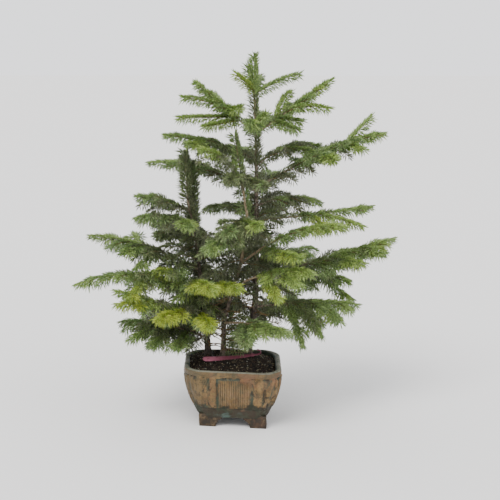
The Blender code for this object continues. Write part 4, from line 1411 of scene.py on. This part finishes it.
def side_shoots(mass, at, begin, side, thick, tone, seed, pitch, finer=True):
    """Alternating side shoots down both sides of a shoot, shorter towards its tip."""
    if side < SHORTEST_SIDE:
        return
    rng = random.Random(seed)
    count = max(1, round(length_of(at, begin, SHOOTS_END) / pitch))
    for number in range(count):
        for way in (1, -1):
            t = begin + (SHOOTS_END - begin) * (number + rng.uniform(0.25, 0.75)) / count
            long = side * (1.12 - 0.58 * number / count) * rng.uniform(0.75, 1.1)
            if rng.random() < 0.10:
                continue
            if finer:
                long *= grown_share(mass, way, t)
            low = 1 - smooth_step(0.18, 0.34, at(t).z)
            lift = rng.uniform(-0.16, 0.26) - 0.12 * low
            line = side_line(at, t, way, long, lift, 0.10 + 0.22 * low)
            hue = tone + rng.uniform(-0.13, 0.13) - 0.20 * (1 - number / count) * finer
            # Painted shade: on these limbs the shoots grow darker towards the tip.
            if mass in SHADED_TIPS and finer:
                hue -= 0.50 * number / count
            spray(mass, line, 0.0, 1.0, hue, tapering(min(thick * 0.6, SHOOT_THICK)), 0.96)
            if finer and long > BRANCHING_FROM:
                branch = f"{seed} {number} {way}"
                side_shoots(mass, line, 0.34, long * 0.44, 0.0007, hue, branch, 0.022, False)


def old_shoots(mass, at, begin, end, pitch, longest, young, seed):
    """Short, shaded side shoots of earlier years on the inner length of a limb."""
    rng = random.Random(seed)
    count = max(1, round(length_of(at, begin, end) / pitch))
    for number in range(count):
        t = begin + (end - begin) * (number + rng.random()) / count
        way = 1 if number % 2 else -1
        long = longest * rng.uniform(0.55, 1.0) * grown_share(mass, way)
        line = side_line(at, t, way, long, rng.uniform(-0.7, 0.5), 0.25)
        hue = rng.uniform(-0.50, 0.12) + max(young - 0.55, 0) * 1.6
        spray(mass, line, 0.0, 1.0, hue, tapering(OLD_THICK), 0.9, 1.25)


# Boughs with shorter side shoots, with few and short old shoots, and with shoots further apart.
SPARE_BOUGHS = ("tall_4_front", "tall_2_front", "tall_3_right", "tall_5_left", "middle_1_left")
AIRY_BOUGHS = (
    "tall_2_back", "tall_3_back", "tall_4_back", "tall_4_front", "tall_5_back", "tall_5_left",
    "tall_5_side", "tall_7_right",
)
LOOSE_BOUGHS = (
    "tall_7_right", "tall_7_upper", "tall_7_back", "tall_6_back", "tall_5_side", "tall_4_left",
    "tall_3_back", "tall_4_back", "tall_5_back", "tall_5_left", "middle_1_left", "middle_2_front",
    "middle_3_right", "left_3_left",
)
# Layers of needles pressed to a leader: how far up, tone over the leader's own, length and lean.
LEADER_LAYERS = ((0.94, -0.22, 1.10, 1.05), (0.90, 0.10, 1.00, 1.00))
LEFT_LAYERS = ((0.92, -0.10, 1.05, 0.72), (0.88, -0.30, 0.90, 0.80))
# Length and lean of needles pressed to a shoot, and of those on shoots in the crown's top.
PRESSED = (0.72, 0.62)
UPRIGHT = (1.05, 0.80)
CROWN_TOP = 0.42
# Heights up to which old shoots grow on boughs and on forks, and up to which they grow long.
OLD_ON_BOUGHS = 0.40
OLD_ON_FORKS = 0.36
OLD_LONG = 0.32
for name, (at, bare, spread, thick, tone) in stems.items():
    leader = name.endswith(("_top", "_twin"))
    if leader:
        spray(name, at, 0.0, 1.0, tone, tapering(thick), 1.20, 0.90, True, 0.0, 0.86)
        for end, hue, long, lean in LEADER_LAYERS + LEFT_LAYERS * name.startswith("left"):
            spray(name, at, 0.0, end, tone + hue, tapering(thick), long, lean, False, 0.0)
    else:
        clean = name in PALE_BOUGHS
        airy = name in AIRY_BOUGHS
        outer = tapering(thick * 0.45)
        inner = 0.45 if clean else max(0.08, bare * 0.35)
        spray(name, at, inner, 0.5, tone - 0.50, limb_girth(thick), 0.85, 1.15, False)
        # Painted shade darkens the tip of such a limb.
        spray(name, at, 0.5, 1.0, tone - 0.45 * (name in SHADED_TIPS), outer)
        if not name.endswith("_back"):
            spray(name, at, 0.4, 0.96, tone - 0.22, outer, *PRESSED, False)
        side = spread * (0.7 if name in SPARE_BOUGHS else 0.95)
        spaced = SHOOT_PITCH * (1.5 if name in LOOSE_BOUGHS else 1.0)
        side_shoots(name, at, max(bare * 0.9, 0.20), side, thick, tone, name, spaced)
        if at(0).z < OLD_ON_BOUGHS and not clean:
            spaced = 0.017 if airy else 0.0085
            longest = 0.022 if airy else 0.044 if at(0).z < OLD_LONG else 0.034
            old_shoots(name, at, 0.05, 0.60, spaced, longest, tone, name + " old")
    for number, (share, bearing, reach, rise, arch, side, hue) in enumerate(FORKS.get(name, ())):
        line = line_of(at(share), bearing, reach, rise, arch)
        girth = min(0.0008 + 0.006 * length_of(line), thick * 0.8)
        wood = tapering(girth)
        seed = f"{name} fork {number}"
        spray(name, line, 0.02, 1.0, hue, wood, 1.05 if leader else 1.0)
        if line(1).z > CROWN_TOP:
            spray(name, line, 0.05, 0.93, hue - 0.15, wood, *UPRIGHT, False)
        else:
            spray(name, line, 0.10, 0.95, hue - 0.22, wood, *PRESSED, False)
            spaced = 0.034 if name in LOOSE_BOUGHS else 0.024
            side_shoots(name, line, 0.28, side * 0.85, girth, hue, seed, spaced, False)
        if reach > 0.05 and line(0).z < OLD_ON_FORKS and name not in LOOSE_BOUGHS:
            old_shoots(name, line, 0.03, 0.45, 0.012, 0.026, tone, seed + " old")

# Needles that still sit on the upper stems: stem, lowest, highest, tone, length and lean.
UPPER_STEMS = (
    ("tall", 0.150, 0.262, -0.25, 1.00, 1.45),
    ("tall", 0.262, 0.331, -0.15, 1.15, 1.15),
    ("tall", 0.285, 0.384, -0.05, 1.10, 0.95),
    ("tall", 0.331, 0.384, -0.25, 0.95, 0.80),
    ("middle", 0.130, 0.200, 0.05, 0.95, 1.20),
    ("middle", 0.200, 0.269, 0.25, 1.05, 1.20),
    ("left", 0.120, 0.235, -0.15, 1.00, 1.20),
    ("left", 0.150, 0.225, 0.00, 0.90, 1.10),
    ("left", 0.185, 0.238, -0.10, 1.00, 0.90),
)


def up_stem(value, name, start, end):
    """A stem's centre or its girth, between two heights, as a function of the share."""
    return lambda share: value(name, start + (end - start) * share)


for name, start, end, tone, long, lean in UPPER_STEMS:
    line = up_stem(trunk_at, name, start, end)
    girth = up_stem(trunk_radius, name, start, end)
    spray(name + "_stem", line, 0.0, 1.0, tone, girth, long, lean, False, 0.05)

# Stem, lowest and highest shoot, spacing, and the half angle in front that stays open.
STEM_SHOOTS = (
    ("tall", 0.100, 0.250, 0.0050, 55),
    ("middle", 0.080, 0.200, 0.0034, 20),
    ("left", 0.050, 0.190, 0.0028, 20),
)
for name, lowest, highest, pitch, open_front in STEM_SHOOTS:
    rng = random.Random(name + " stem shoots")
    for number in range(round((highest - lowest) / pitch)):
        height = lowest + pitch * (number + rng.random())
        bearing = (math.degrees(GOLDEN_TURN * number) + rng.uniform(-20, 20)) % 360
        if abs(bearing - 270) < open_front:
            bearing += 180
        reach = rng.uniform(0.024, 0.070)
        rise = rng.uniform(-0.016, 0.014)
        line = line_of(trunk_at(name, height), bearing, reach, rise, 0.005)
        hue = rng.uniform(-0.50, 0.10)
        spray(name + "_stem", line, 0.06, 1.0, hue, tapering(SHOOT_THICK), 0.95, 1.2)

# Thin shoots low down between the stems: stem, height, bearing, reach, rise and tone.
LOW_SHOOTS = (
    ("middle", 0.010, -20, 0.036, -0.002, 0.00),
    ("middle", 0.018, 30, 0.046, 0.004, -0.20),
    ("middle", 0.025, -45, 0.042, 0.000, 0.10),
    ("middle", 0.032, 5, 0.050, -0.004, -0.10),
    ("middle", 0.040, -30, 0.046, 0.002, 0.05),
    ("middle", 0.048, 45, 0.044, 0.000, -0.30),
    ("middle", 0.056, -10, 0.040, 0.004, -0.05),
    ("tall", 0.016, -140, 0.038, 0.000, -0.20),
    ("tall", 0.028, -100, 0.040, 0.002, 0.05),
    ("tall", 0.040, -155, 0.042, -0.002, -0.15),
    ("tall", 0.050, -40, 0.044, -0.002, -0.10),
)
for name, height, bearing, reach, rise, tone in LOW_SHOOTS:
    line = line_of(trunk_at(name, height), bearing, reach, rise, 0.004)
    spray(name + "_stem", line, 0.12, 1.0, tone, tapering(LOW_THICK), 0.80, 1.2)

# Dead shoots low on the stems, bare of needles: stem, lowest, highest, how many, longest reach.
BARE_SHOOTS = (
    ("tall", 0.018, 0.120, 26, 0.052),
    ("middle", 0.012, 0.105, 30, 0.044),
    ("left", 0.012, 0.070, 14, 0.038),
)
for name, lowest, highest, shoots, longest in BARE_SHOOTS:
    rng = random.Random(name + " bare shoots")
    for number in range(shoots):
        height = lowest + (highest - lowest) * (number + rng.random()) / shoots
        bearing = math.degrees(GOLDEN_TURN * number) + rng.uniform(-30, 30)
        reach = longest * rng.uniform(0.45, 1.0)
        rise = rng.uniform(-0.012, 0.006)
        arch = rng.uniform(-0.006, 0.008)
        line = line_of(trunk_at(name, height), bearing, reach, rise, arch)
        spray(name + "_stem", line, 0.0, 1.0, None, tapering(DEAD_THICK))
        for fork in range(rng.randint(2, 4)):
            t = rng.uniform(0.25, 0.85)
            way = rng.choice((1, -1))
            long = reach * rng.uniform(0.25, 0.50)
            twiglet = side_line(line, t, way, long, rng.uniform(-0.5, 0.4), 0.3)
            spray(name + "_stem", twiglet, 0.0, 1.0, None, tapering(SHOOT_THICK))


def axes_mesh(name, chosen):
    """The centre lines of some sprays as edges, with what each needs stored on its points."""
    verts, edges = [], []
    kept = {label: [] for label in ("girth", "long", "share", "lean", "hang")}
    for mass, spots, tone, wood in chosen:
        base = len(verts)
        edges += [(base + i, base + i + 1) for i in range(len(spots) - 1)]
        for point, *values in spots:
            verts.append(tuple(point))
            for label, value in zip(kept, values):
                kept[label].append(value)
    mesh = bpy.data.meshes.new(name)
    mesh.from_pydata(verts, edges, [])
    item = stood(name, mesh)
    for label, values in kept.items():
        stored_on(item, label, values)
    return item


def stored(tree, label):
    """In a tree, what each point of the mesh was given under a label."""
    node = add(tree, "GeometryNodeInputNamedAttribute", data_type="FLOAT")
    node.inputs["Name"].default_value = label
    return node.outputs[0]


def twig_tree():
    tree, start, end = tree_with("twig wood", (("Sides", "Int", 5), ("Finish", "Material", None)))
    path = add(tree, "GeometryNodeMeshToCurve")
    ring = add(tree, "GeometryNodeCurvePrimitiveCircle")
    ring.inputs["Radius"].default_value = 1.0
    skin = add(tree, "GeometryNodeCurveToMesh")
    skin.inputs["Fill Caps"].default_value = True
    wire(
        tree,
        (start.outputs["Geometry"], path.inputs["Mesh"]),
        (start.outputs["Sides"], ring.inputs["Resolution"]),
        (path.outputs[0], skin.inputs["Curve"]),
        (ring.outputs[0], skin.inputs["Profile Curve"]),
        (stored(tree, "girth"), skin.inputs["Scale"]),
    )
    return dressed(tree, start, end, skin.outputs[0])


TWIG_TAN = (0.235, 0.140, 0.062)
TWIG_GREEN = (0.110, 0.115, 0.042)
TWIG_GROOVE = (0.10, 0.055, 0.030)
young_wood = Finish("young_wood", 0.7, 0.35)
grooves = young_wood.stretched(1.0, 1.0, 0.5)
young_wood.base(young_wood.patches(90, 0.35, 0.65), TWIG_TAN, TWIG_GREEN)
young_wood.lay(young_wood.patches(900, 0.45, 0.65, 3.0, grooves), TWIG_GROOVE)
young_wood.colour()
young_wood.gloss(0.55, 0.85, 500, 0.3, 0.7)
young_wood.bumps((young_wood.patches(1200, 0.3, 0.7, 3.0, grooves), 0.5, 0.0003))

masses = [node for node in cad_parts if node.startswith("foliage_")]
twigs = axes_mesh("twigs", [entry for entry in sprays if entry[3]])
grown_by(twigs, twig_tree(), sides=5, finish=young_wood.material)
twigs.data.shade_smooth()
fitted(twigs, "bark", *masses)


# NEEDLES
# Stiff four-sided needles on small pegs all round the shoot, pointing forward and closing over
# the bud, fuller above than below. Old ones are dark and short, and this year's are yellow-green.
# Tints: name, slot, the least tone that takes it, and a shaded and a lit colour of its needles,
# which the finish mixes in fine random flecks as painted light and shade.
TINTS = (
    ("shade", "needles_dark", -0.30, (0.051, 0.062, 0.034), (0.194, 0.208, 0.120)),
    ("old", "needles_dark", -0.05, (0.064, 0.088, 0.037), (0.230, 0.272, 0.124)),
    ("deep", "needles", 0.18, (0.073, 0.113, 0.041), (0.248, 0.338, 0.128)),
    ("leaf", "needles", 0.38, (0.095, 0.146, 0.040), (0.294, 0.397, 0.126)),
    ("fresh", "needles", 0.56, (0.126, 0.186, 0.040), (0.344, 0.452, 0.122)),
    ("bright", "needles_bright", 0.72, (0.148, 0.203, 0.030), (0.368, 0.450, 0.086)),
    ("yellow", "needles_bright", 0.88, (0.180, 0.228, 0.024), (0.385, 0.455, 0.064)),
)
NEEDLE_PITCH = 0.00046
NEEDLE_WIDE = 0.00152
CLOSING_FROM = 0.74


def needle_tree():
    tree, start, end = tree_with(
        "needles",
        (
            ("Needle", "Object", None),
            ("Pitch", "Float", NEEDLE_PITCH),
            ("Width", "Float", NEEDLE_WIDE),
            ("Lean", "Float", math.radians(53)),
            ("Pressing", "Float", math.radians(20)),
            ("Closing", "Float", 0.55),
            ("Fullness above", "Float", 0.42),
            ("Seed", "Int", 1),
            ("Finish", "Material", None),
        ),
    )

    def maths(kind, a, b=0.0):
        node = add(tree, "ShaderNodeMath", operation=kind)
        set_or_wired(tree, (node.inputs[0], a), (node.inputs[1], b))
        return node.outputs[0]

    def vectors(kind, a, b=None, scale=None):
        node = add(tree, "ShaderNodeVectorMath", operation=kind)
        wire(tree, (a, node.inputs[0]))
        if b is not None:
            wire(tree, (b, node.inputs[1]))
        if scale is not None:
            wire(tree, (scale, node.inputs["Scale"]))
        return node.outputs[0]

    def chance(low, high, offset):
        node = add(tree, "FunctionNodeRandomValue", data_type="FLOAT")
        node.inputs[2].default_value = low
        node.inputs[3].default_value = high
        wire(tree, (maths("ADD", start.outputs["Seed"], offset), node.inputs["Seed"]))
        return node.outputs[1]

    path = add(tree, "GeometryNodeMeshToCurve")
    level = add(tree, "GeometryNodeSetCurveNormal", mode="Z_UP")
    roots = add(tree, "GeometryNodeCurveToPoints", mode="LENGTH")
    wire(
        tree,
        (start.outputs["Geometry"], path.inputs["Mesh"]),
        (path.outputs[0], level.inputs["Curve"]),
        (level.outputs[0], roots.inputs["Curve"]),
        (start.outputs["Pitch"], roots.inputs["Length"]),
    )
    tangent, side = roots.outputs["Tangent"], roots.outputs["Normal"]
    over = vectors("CROSS_PRODUCT", side, tangent)
    # Each needle stands a golden turn on from the last, and more of them above the shoot.
    index = add(tree, "GeometryNodeInputIndex").outputs[0]
    turn = maths("ADD", maths("MULTIPLY", index, GOLDEN_TURN), chance(-0.30, 0.30, 11))
    fuller = maths("MULTIPLY", maths("COSINE", turn), start.outputs["Fullness above"])
    turn = maths("ADD", turn, fuller)
    high = maths("SINE", turn)
    out = vectors(
        "ADD",
        vectors("SCALE", side, scale=maths("COSINE", turn)),
        vectors("SCALE", over, scale=high),
    )
    # Needles lean forward, are pressed down on top, and close over the bud.
    closing = add(tree, "ShaderNodeMapRange", interpolation_type="SMOOTHSTEP")
    closing.inputs["From Min"].default_value = CLOSING_FROM
    closing.inputs["From Max"].default_value = 1.0
    wire(tree, (stored(tree, "share"), closing.inputs["Value"]))
    closed = maths("MULTIPLY", closing.outputs[0], start.outputs["Closing"])
    closed = maths("SUBTRACT", 1.0, closed)
    pressed = maths("MULTIPLY", start.outputs["Pressing"], high)
    leaning = maths("SUBTRACT", start.outputs["Lean"], pressed)
    leaning = maths("MULTIPLY", leaning, stored(tree, "lean"))
    lean = maths("MULTIPLY", maths("ADD", leaning, chance(-0.11, 0.11, 23)), closed)
    aim = vectors(
        "ADD",
        vectors("SCALE", tangent, scale=maths("COSINE", lean)),
        vectors("SCALE", out, scale=maths("SINE", lean)),
    )
    weight = add(tree, "ShaderNodeCombineXYZ")
    wire(tree, (maths("MULTIPLY", stored(tree, "hang"), -1.0), weight.inputs["Z"]))
    aim = vectors("ADD", aim, weight.outputs[0])
    on_bark = add(tree, "GeometryNodeSetPosition")
    sunk = maths("MULTIPLY", stored(tree, "girth"), 0.85)
    offset = vectors("SCALE", out, scale=sunk)
    point = add(tree, "FunctionNodeAlignRotationToVector", axis="Z")
    roll = add(tree, "FunctionNodeRotateRotation", rotation_space="LOCAL")
    spin = add(tree, "ShaderNodeCombineXYZ")
    spin_turn = add(tree, "FunctionNodeEulerToRotation")
    wide = maths("MULTIPLY", start.outputs["Width"], chance(0.85, 1.15, 41))
    below = maths("SUBTRACT", 1.0, maths("MULTIPLY", high, 0.10))
    long = maths("MULTIPLY", stored(tree, "long"), chance(0.86, 1.10, 53))
    size = add(tree, "ShaderNodeCombineXYZ")
    wire(
        tree,
        (roots.outputs["Points"], on_bark.inputs[0]),
        (offset, on_bark.inputs["Offset"]),
        (aim, point.inputs["Vector"]),
        (chance(0.0, math.tau, 37), spin.inputs["Z"]),
        (spin.outputs[0], spin_turn.inputs[0]),
        (point.outputs[0], roll.inputs["Rotation"]),
        (spin_turn.outputs[0], roll.inputs["Rotate By"]),
        (wide, size.inputs["X"]),
        (wide, size.inputs["Y"]),
        (maths("MULTIPLY", long, below), size.inputs["Z"]),
    )
    return repeated(
        tree, start, end, "Needle", on_bark.outputs[0], size.outputs[0], roll.outputs[0]
    )


def needle_stock():
    """A needle of unit length and width: a foot in the bark, a full middle and a sharp tip."""
    verts = [(0.0, 0.0, -0.03)]
    for k in range(3):
        angle = math.tau * k / 3
        verts.append((0.5 * math.cos(angle) + 0.30, 0.5 * math.sin(angle), 0.55))
    verts.append((0.0, 0.0, 1.0))
    faces = [(0, 2, 1), (0, 3, 2), (0, 1, 3), (4, 1, 2), (4, 2, 3), (4, 3, 1)]
    return made("needle_stock", verts, faces, False)


def needle_finish(name, dark, light):
    finish = Finish("needles_" + name, 0.42, 0.24)
    # Shaded and lit copies of the needle colour, mixed in fine flecks: painted light and shade.
    finish.base(finish.patches(620, 0.40, 0.62, 2.0), dark, light)
    finish.colour()
    finish.gloss(0.36, 0.60, 800, 0.3, 0.7, 2.0)
    finish.bumps((finish.patches(2600, 0.3, 0.7, 2.0), 0.35, 0.0002))
    finish.shader.inputs["Subsurface Weight"].default_value = 0.12
    finish.shader.inputs["Subsurface Radius"].default_value = (0.0008, 0.0015, 0.0003)
    finish.shader.inputs["Subsurface Scale"].default_value = 1.0
    return finish.material


needle_rule = needle_tree()
stock = needle_stock()
dealt = {}
for entry in sprays:
    mass, spots, tone, wood = entry
    if tone is None:
        continue
    tints = [name for name, slot, least, *colours in TINTS if tone >= least] or [TINTS[0][0]]
    dealt.setdefault((mass.split("_")[0], tints[-1]), []).append(entry)
for name, slot, least, dark, light in TINTS:
    skin = needle_finish(name, dark, light)
    for number, tree in enumerate(TRUNKS):
        chosen = dealt.get((tree, name), [])
        if not chosen:
            continue
        needles = axes_mesh(f"needles_{tree}_{name}", chosen)
        grown_by(needles, needle_rule, needle=stock, seed=number + 1, finish=skin)
        needles.data.shade_flat()
        held = sorted({"foliage_" + entry[0] for entry in chosen} & set(masses))
        fitted(needles, slot, *held)
bpy.data.objects.remove(stock, do_unlink=True)


# PLANT TAG
# A soft slip-on label of pink polythene, pushed into the mix in front of the trunks: a broad
# rounded end, a strap drawn through a slot, and its tail curling up.
TAG_LENGTH = 0.0765
TAG_WIDE = 0.0114
TAG_NARROW = 0.0060
TAG_THICK = 0.0011
TAG_AT = Vector((-0.0424, -0.0180, 0.0942))
TAG_TURN = math.radians(18.5)
TAG_LEAN = math.radians(20)
TAG_RISE = 0.0018
TAG_SAG = 0.0010
TAG_STEPS = 59
# The tail: how far it curls, its half width, its reach and how high it stands.
CURL_FROM = -90
CURL_SWEEP = 168
CURL_HALF = 0.0018
CURL_REACH = 0.0075
CURL_HIGH = 0.0045
CURL_THICK = 0.0010
CURL_STEPS = 39
# The slot's lip, where strap and tail meet.
KNOT_LONG = 0.006
KNOT_HALF = 0.0036
KNOT_THICK = 0.0026
KNOT_STEPS = 11
PINK = (0.50, 0.165, 0.235)
PINK_DEEP = (0.40, 0.115, 0.180)
PINK_INKED = (0.140, 0.036, 0.056)
PINK_SOILED = (0.10, 0.035, 0.040)
tag_turn = Matrix.Rotation(TAG_TURN, 3, "Z") @ Matrix.Rotation(TAG_LEAN, 3, "X")


def tag_strip(spots, thick):
    """A strip through (along, height, half width, lean ahead) spots, as rounded flat rings."""
    rings = []
    for along, high, half, aim in spots:
        normal = Vector((-math.sin(aim), 0.0, math.cos(aim)))
        ring = []
        for k in range(20):
            angle = math.tau * k / 20
            flat = math.copysign(abs(math.cos(angle)) ** 0.45, math.cos(angle))
            edge = math.copysign(abs(math.sin(angle)) ** 0.6, math.sin(angle))
            spot = Vector((along, flat * half, high)) + normal * edge * thick / 2
            ring.append(POT_AT + TAG_AT + tag_turn @ spot)
        rings.append(ring)
    return rings


label_spots = []
for i in range(TAG_STEPS + 1):
    share = i / TAG_STEPS
    along = 0.0004 + (TAG_LENGTH - 0.0004) * share
    half = TAG_WIDE / 2
    if along < half:
        width = math.sqrt(max(half**2 - (half - along) ** 2, 1e-8))
    else:
        width = half + (TAG_NARROW / 2 - half) * (along - half) / (TAG_LENGTH - half)
    sag = TAG_RISE * share**2 - TAG_SAG * math.sin(share * math.pi)
    label_spots.append((along, sag, width, 0.0))
curl_spots = []
for i in range(CURL_STEPS + 1):
    angle = math.radians(CURL_FROM + CURL_SWEEP * i / CURL_STEPS)
    along = TAG_LENGTH + 0.0040 + CURL_REACH * math.cos(angle) - (0.006 if i == 0 else 0.0)
    high = TAG_RISE + CURL_HIGH + CURL_HIGH * math.sin(angle)
    curl_spots.append((along, high, CURL_HALF, angle + math.pi / 2))
knot_spots = []
for i in range(KNOT_STEPS + 1):
    share = i / KNOT_STEPS
    half = KNOT_HALF * math.sin(math.pi * (0.12 + 0.76 * share))
    knot_spots.append((TAG_LENGTH - 0.004 + KNOT_LONG * share, TAG_RISE, half, 0.0))
tag_verts, tag_faces = [], []
for spots, thick in ((label_spots, TAG_THICK), (curl_spots, CURL_THICK), (knot_spots, KNOT_THICK)):
    gathered(tag_verts, tag_faces, lofted(tag_strip(spots, thick)))
tag = made("tag_label", tag_verts, tag_faces)

polythene = Finish("pink_polythene", 0.45, 0.45)
inked = polythene.level(polythene.axis("X"), POT_AT.x - 0.034, POT_AT.x - 0.004, 0.0, 0.85)
polythene.base(polythene.patches(45, 0.35, 0.65), PINK, PINK_DEEP)
polythene.lay(inked, PINK_INKED)
polythene.lay(polythene.patches(170, 0.56, 0.70, 5.0), PINK_SOILED, 0.7)
polythene.colour()
polythene.gloss(0.32, 0.66, 210, 0.35, 0.65)
polythene.bumps((polythene.patches(380, 0.3, 0.7, 4.0), 0.25, 0.0003))
tag.data.materials.append(polythene.material)
fitted(tag, "plant_tag", "plant_tag")


# STUDIO
# A wide pale floor and an even backdrop, under soft light from the front and both sides, and a
# camera that looks a little down on the plant.
FLOOR_HALF = 60
FLOOR_GREY = (0.85, 0.84, 0.835)
AIR_BLUE = (0.97, 0.98, 1.0)
AIR_STRENGTH = 1.30
BACKDROP_GREY = (0.97, 0.975, 1.0)
BACKDROP_STRENGTH = 1.82

floor_mesh = bpy.data.meshes.new("floor")
corners = [(x * FLOOR_HALF, y * FLOOR_HALF, 0) for x, y in ((-1, -1), (1, -1), (1, 1), (-1, 1))]
floor_mesh.from_pydata(corners, [], [(0, 1, 2, 3)])
floor = stood("floor", floor_mesh)
paper = Finish("pale_floor", 0.9, 0.0)
paper.shader.inputs["Base Color"].default_value = (*FLOOR_GREY, 1.0)
floor.data.materials.append(paper.material)


def soft_sun(name, bearing, height, strength, spread, colour):
    """A broad distant light: bearing round the plant from the front, height over the horizon."""
    light = bpy.data.lights.new(name, "SUN")
    light.energy = strength
    light.angle = math.radians(spread)
    light.color = colour
    stood(name, light).rotation_euler = (math.radians(90 - height), 0.0, math.radians(bearing))


soft_sun("key", -28, 52, 2.7, 30, (1.0, 0.985, 0.96))
soft_sun("fill", 55, 30, 0.8, 60, (0.96, 0.98, 1.0))
world = bpy.data.worlds.new("studio")
world.use_nodes = True
air = world.node_tree
glow = air.nodes["Background"]
backdrop = add(air, "ShaderNodeBackground")
for node, colour, strength in (
    (glow, AIR_BLUE, AIR_STRENGTH),
    (backdrop, BACKDROP_GREY, BACKDROP_STRENGTH),
):
    node.inputs["Color"].default_value = (*colour, 1.0)
    node.inputs["Strength"].default_value = strength
seen = add(air, "ShaderNodeLightPath")
pick = add(air, "ShaderNodeMixShader")
wire(
    air,
    (seen.outputs["Is Camera Ray"], pick.inputs[0]),
    (glow.outputs[0], pick.inputs[1]),
    (backdrop.outputs[0], pick.inputs[2]),
    (pick.outputs[0], air.nodes["World Output"].inputs["Surface"]),
)
bpy.context.scene.world = world

VIEW_TURN = math.radians(5)
VIEW_DOWN = math.radians(10)
# The focal length and the picture's width, in the picture's own dots.
FOCAL_DOTS = 1040
PICTURE_DOTS = 500
CAMERA_ASIDE = 0.026
CAMERA_AWAY = 1.5
CAMERA_HIGH = 0.52
right = Vector((math.cos(VIEW_TURN), math.sin(VIEW_TURN), 0.0))
away = Vector((-math.sin(VIEW_TURN), math.cos(VIEW_TURN), 0.0))
lens = bpy.data.cameras.new("camera")
lens.sensor_width = 36.0
lens.lens = 36.0 * FOCAL_DOTS / PICTURE_DOTS
camera = stood("camera", lens)
camera.location = POT_AT + right * CAMERA_ASIDE - away * CAMERA_AWAY + Vector((0, 0, CAMERA_HIGH))
camera.rotation_euler = (math.pi / 2 - VIEW_DOWN, 0.0, VIEW_TURN)
bpy.context.scene.camera = camera
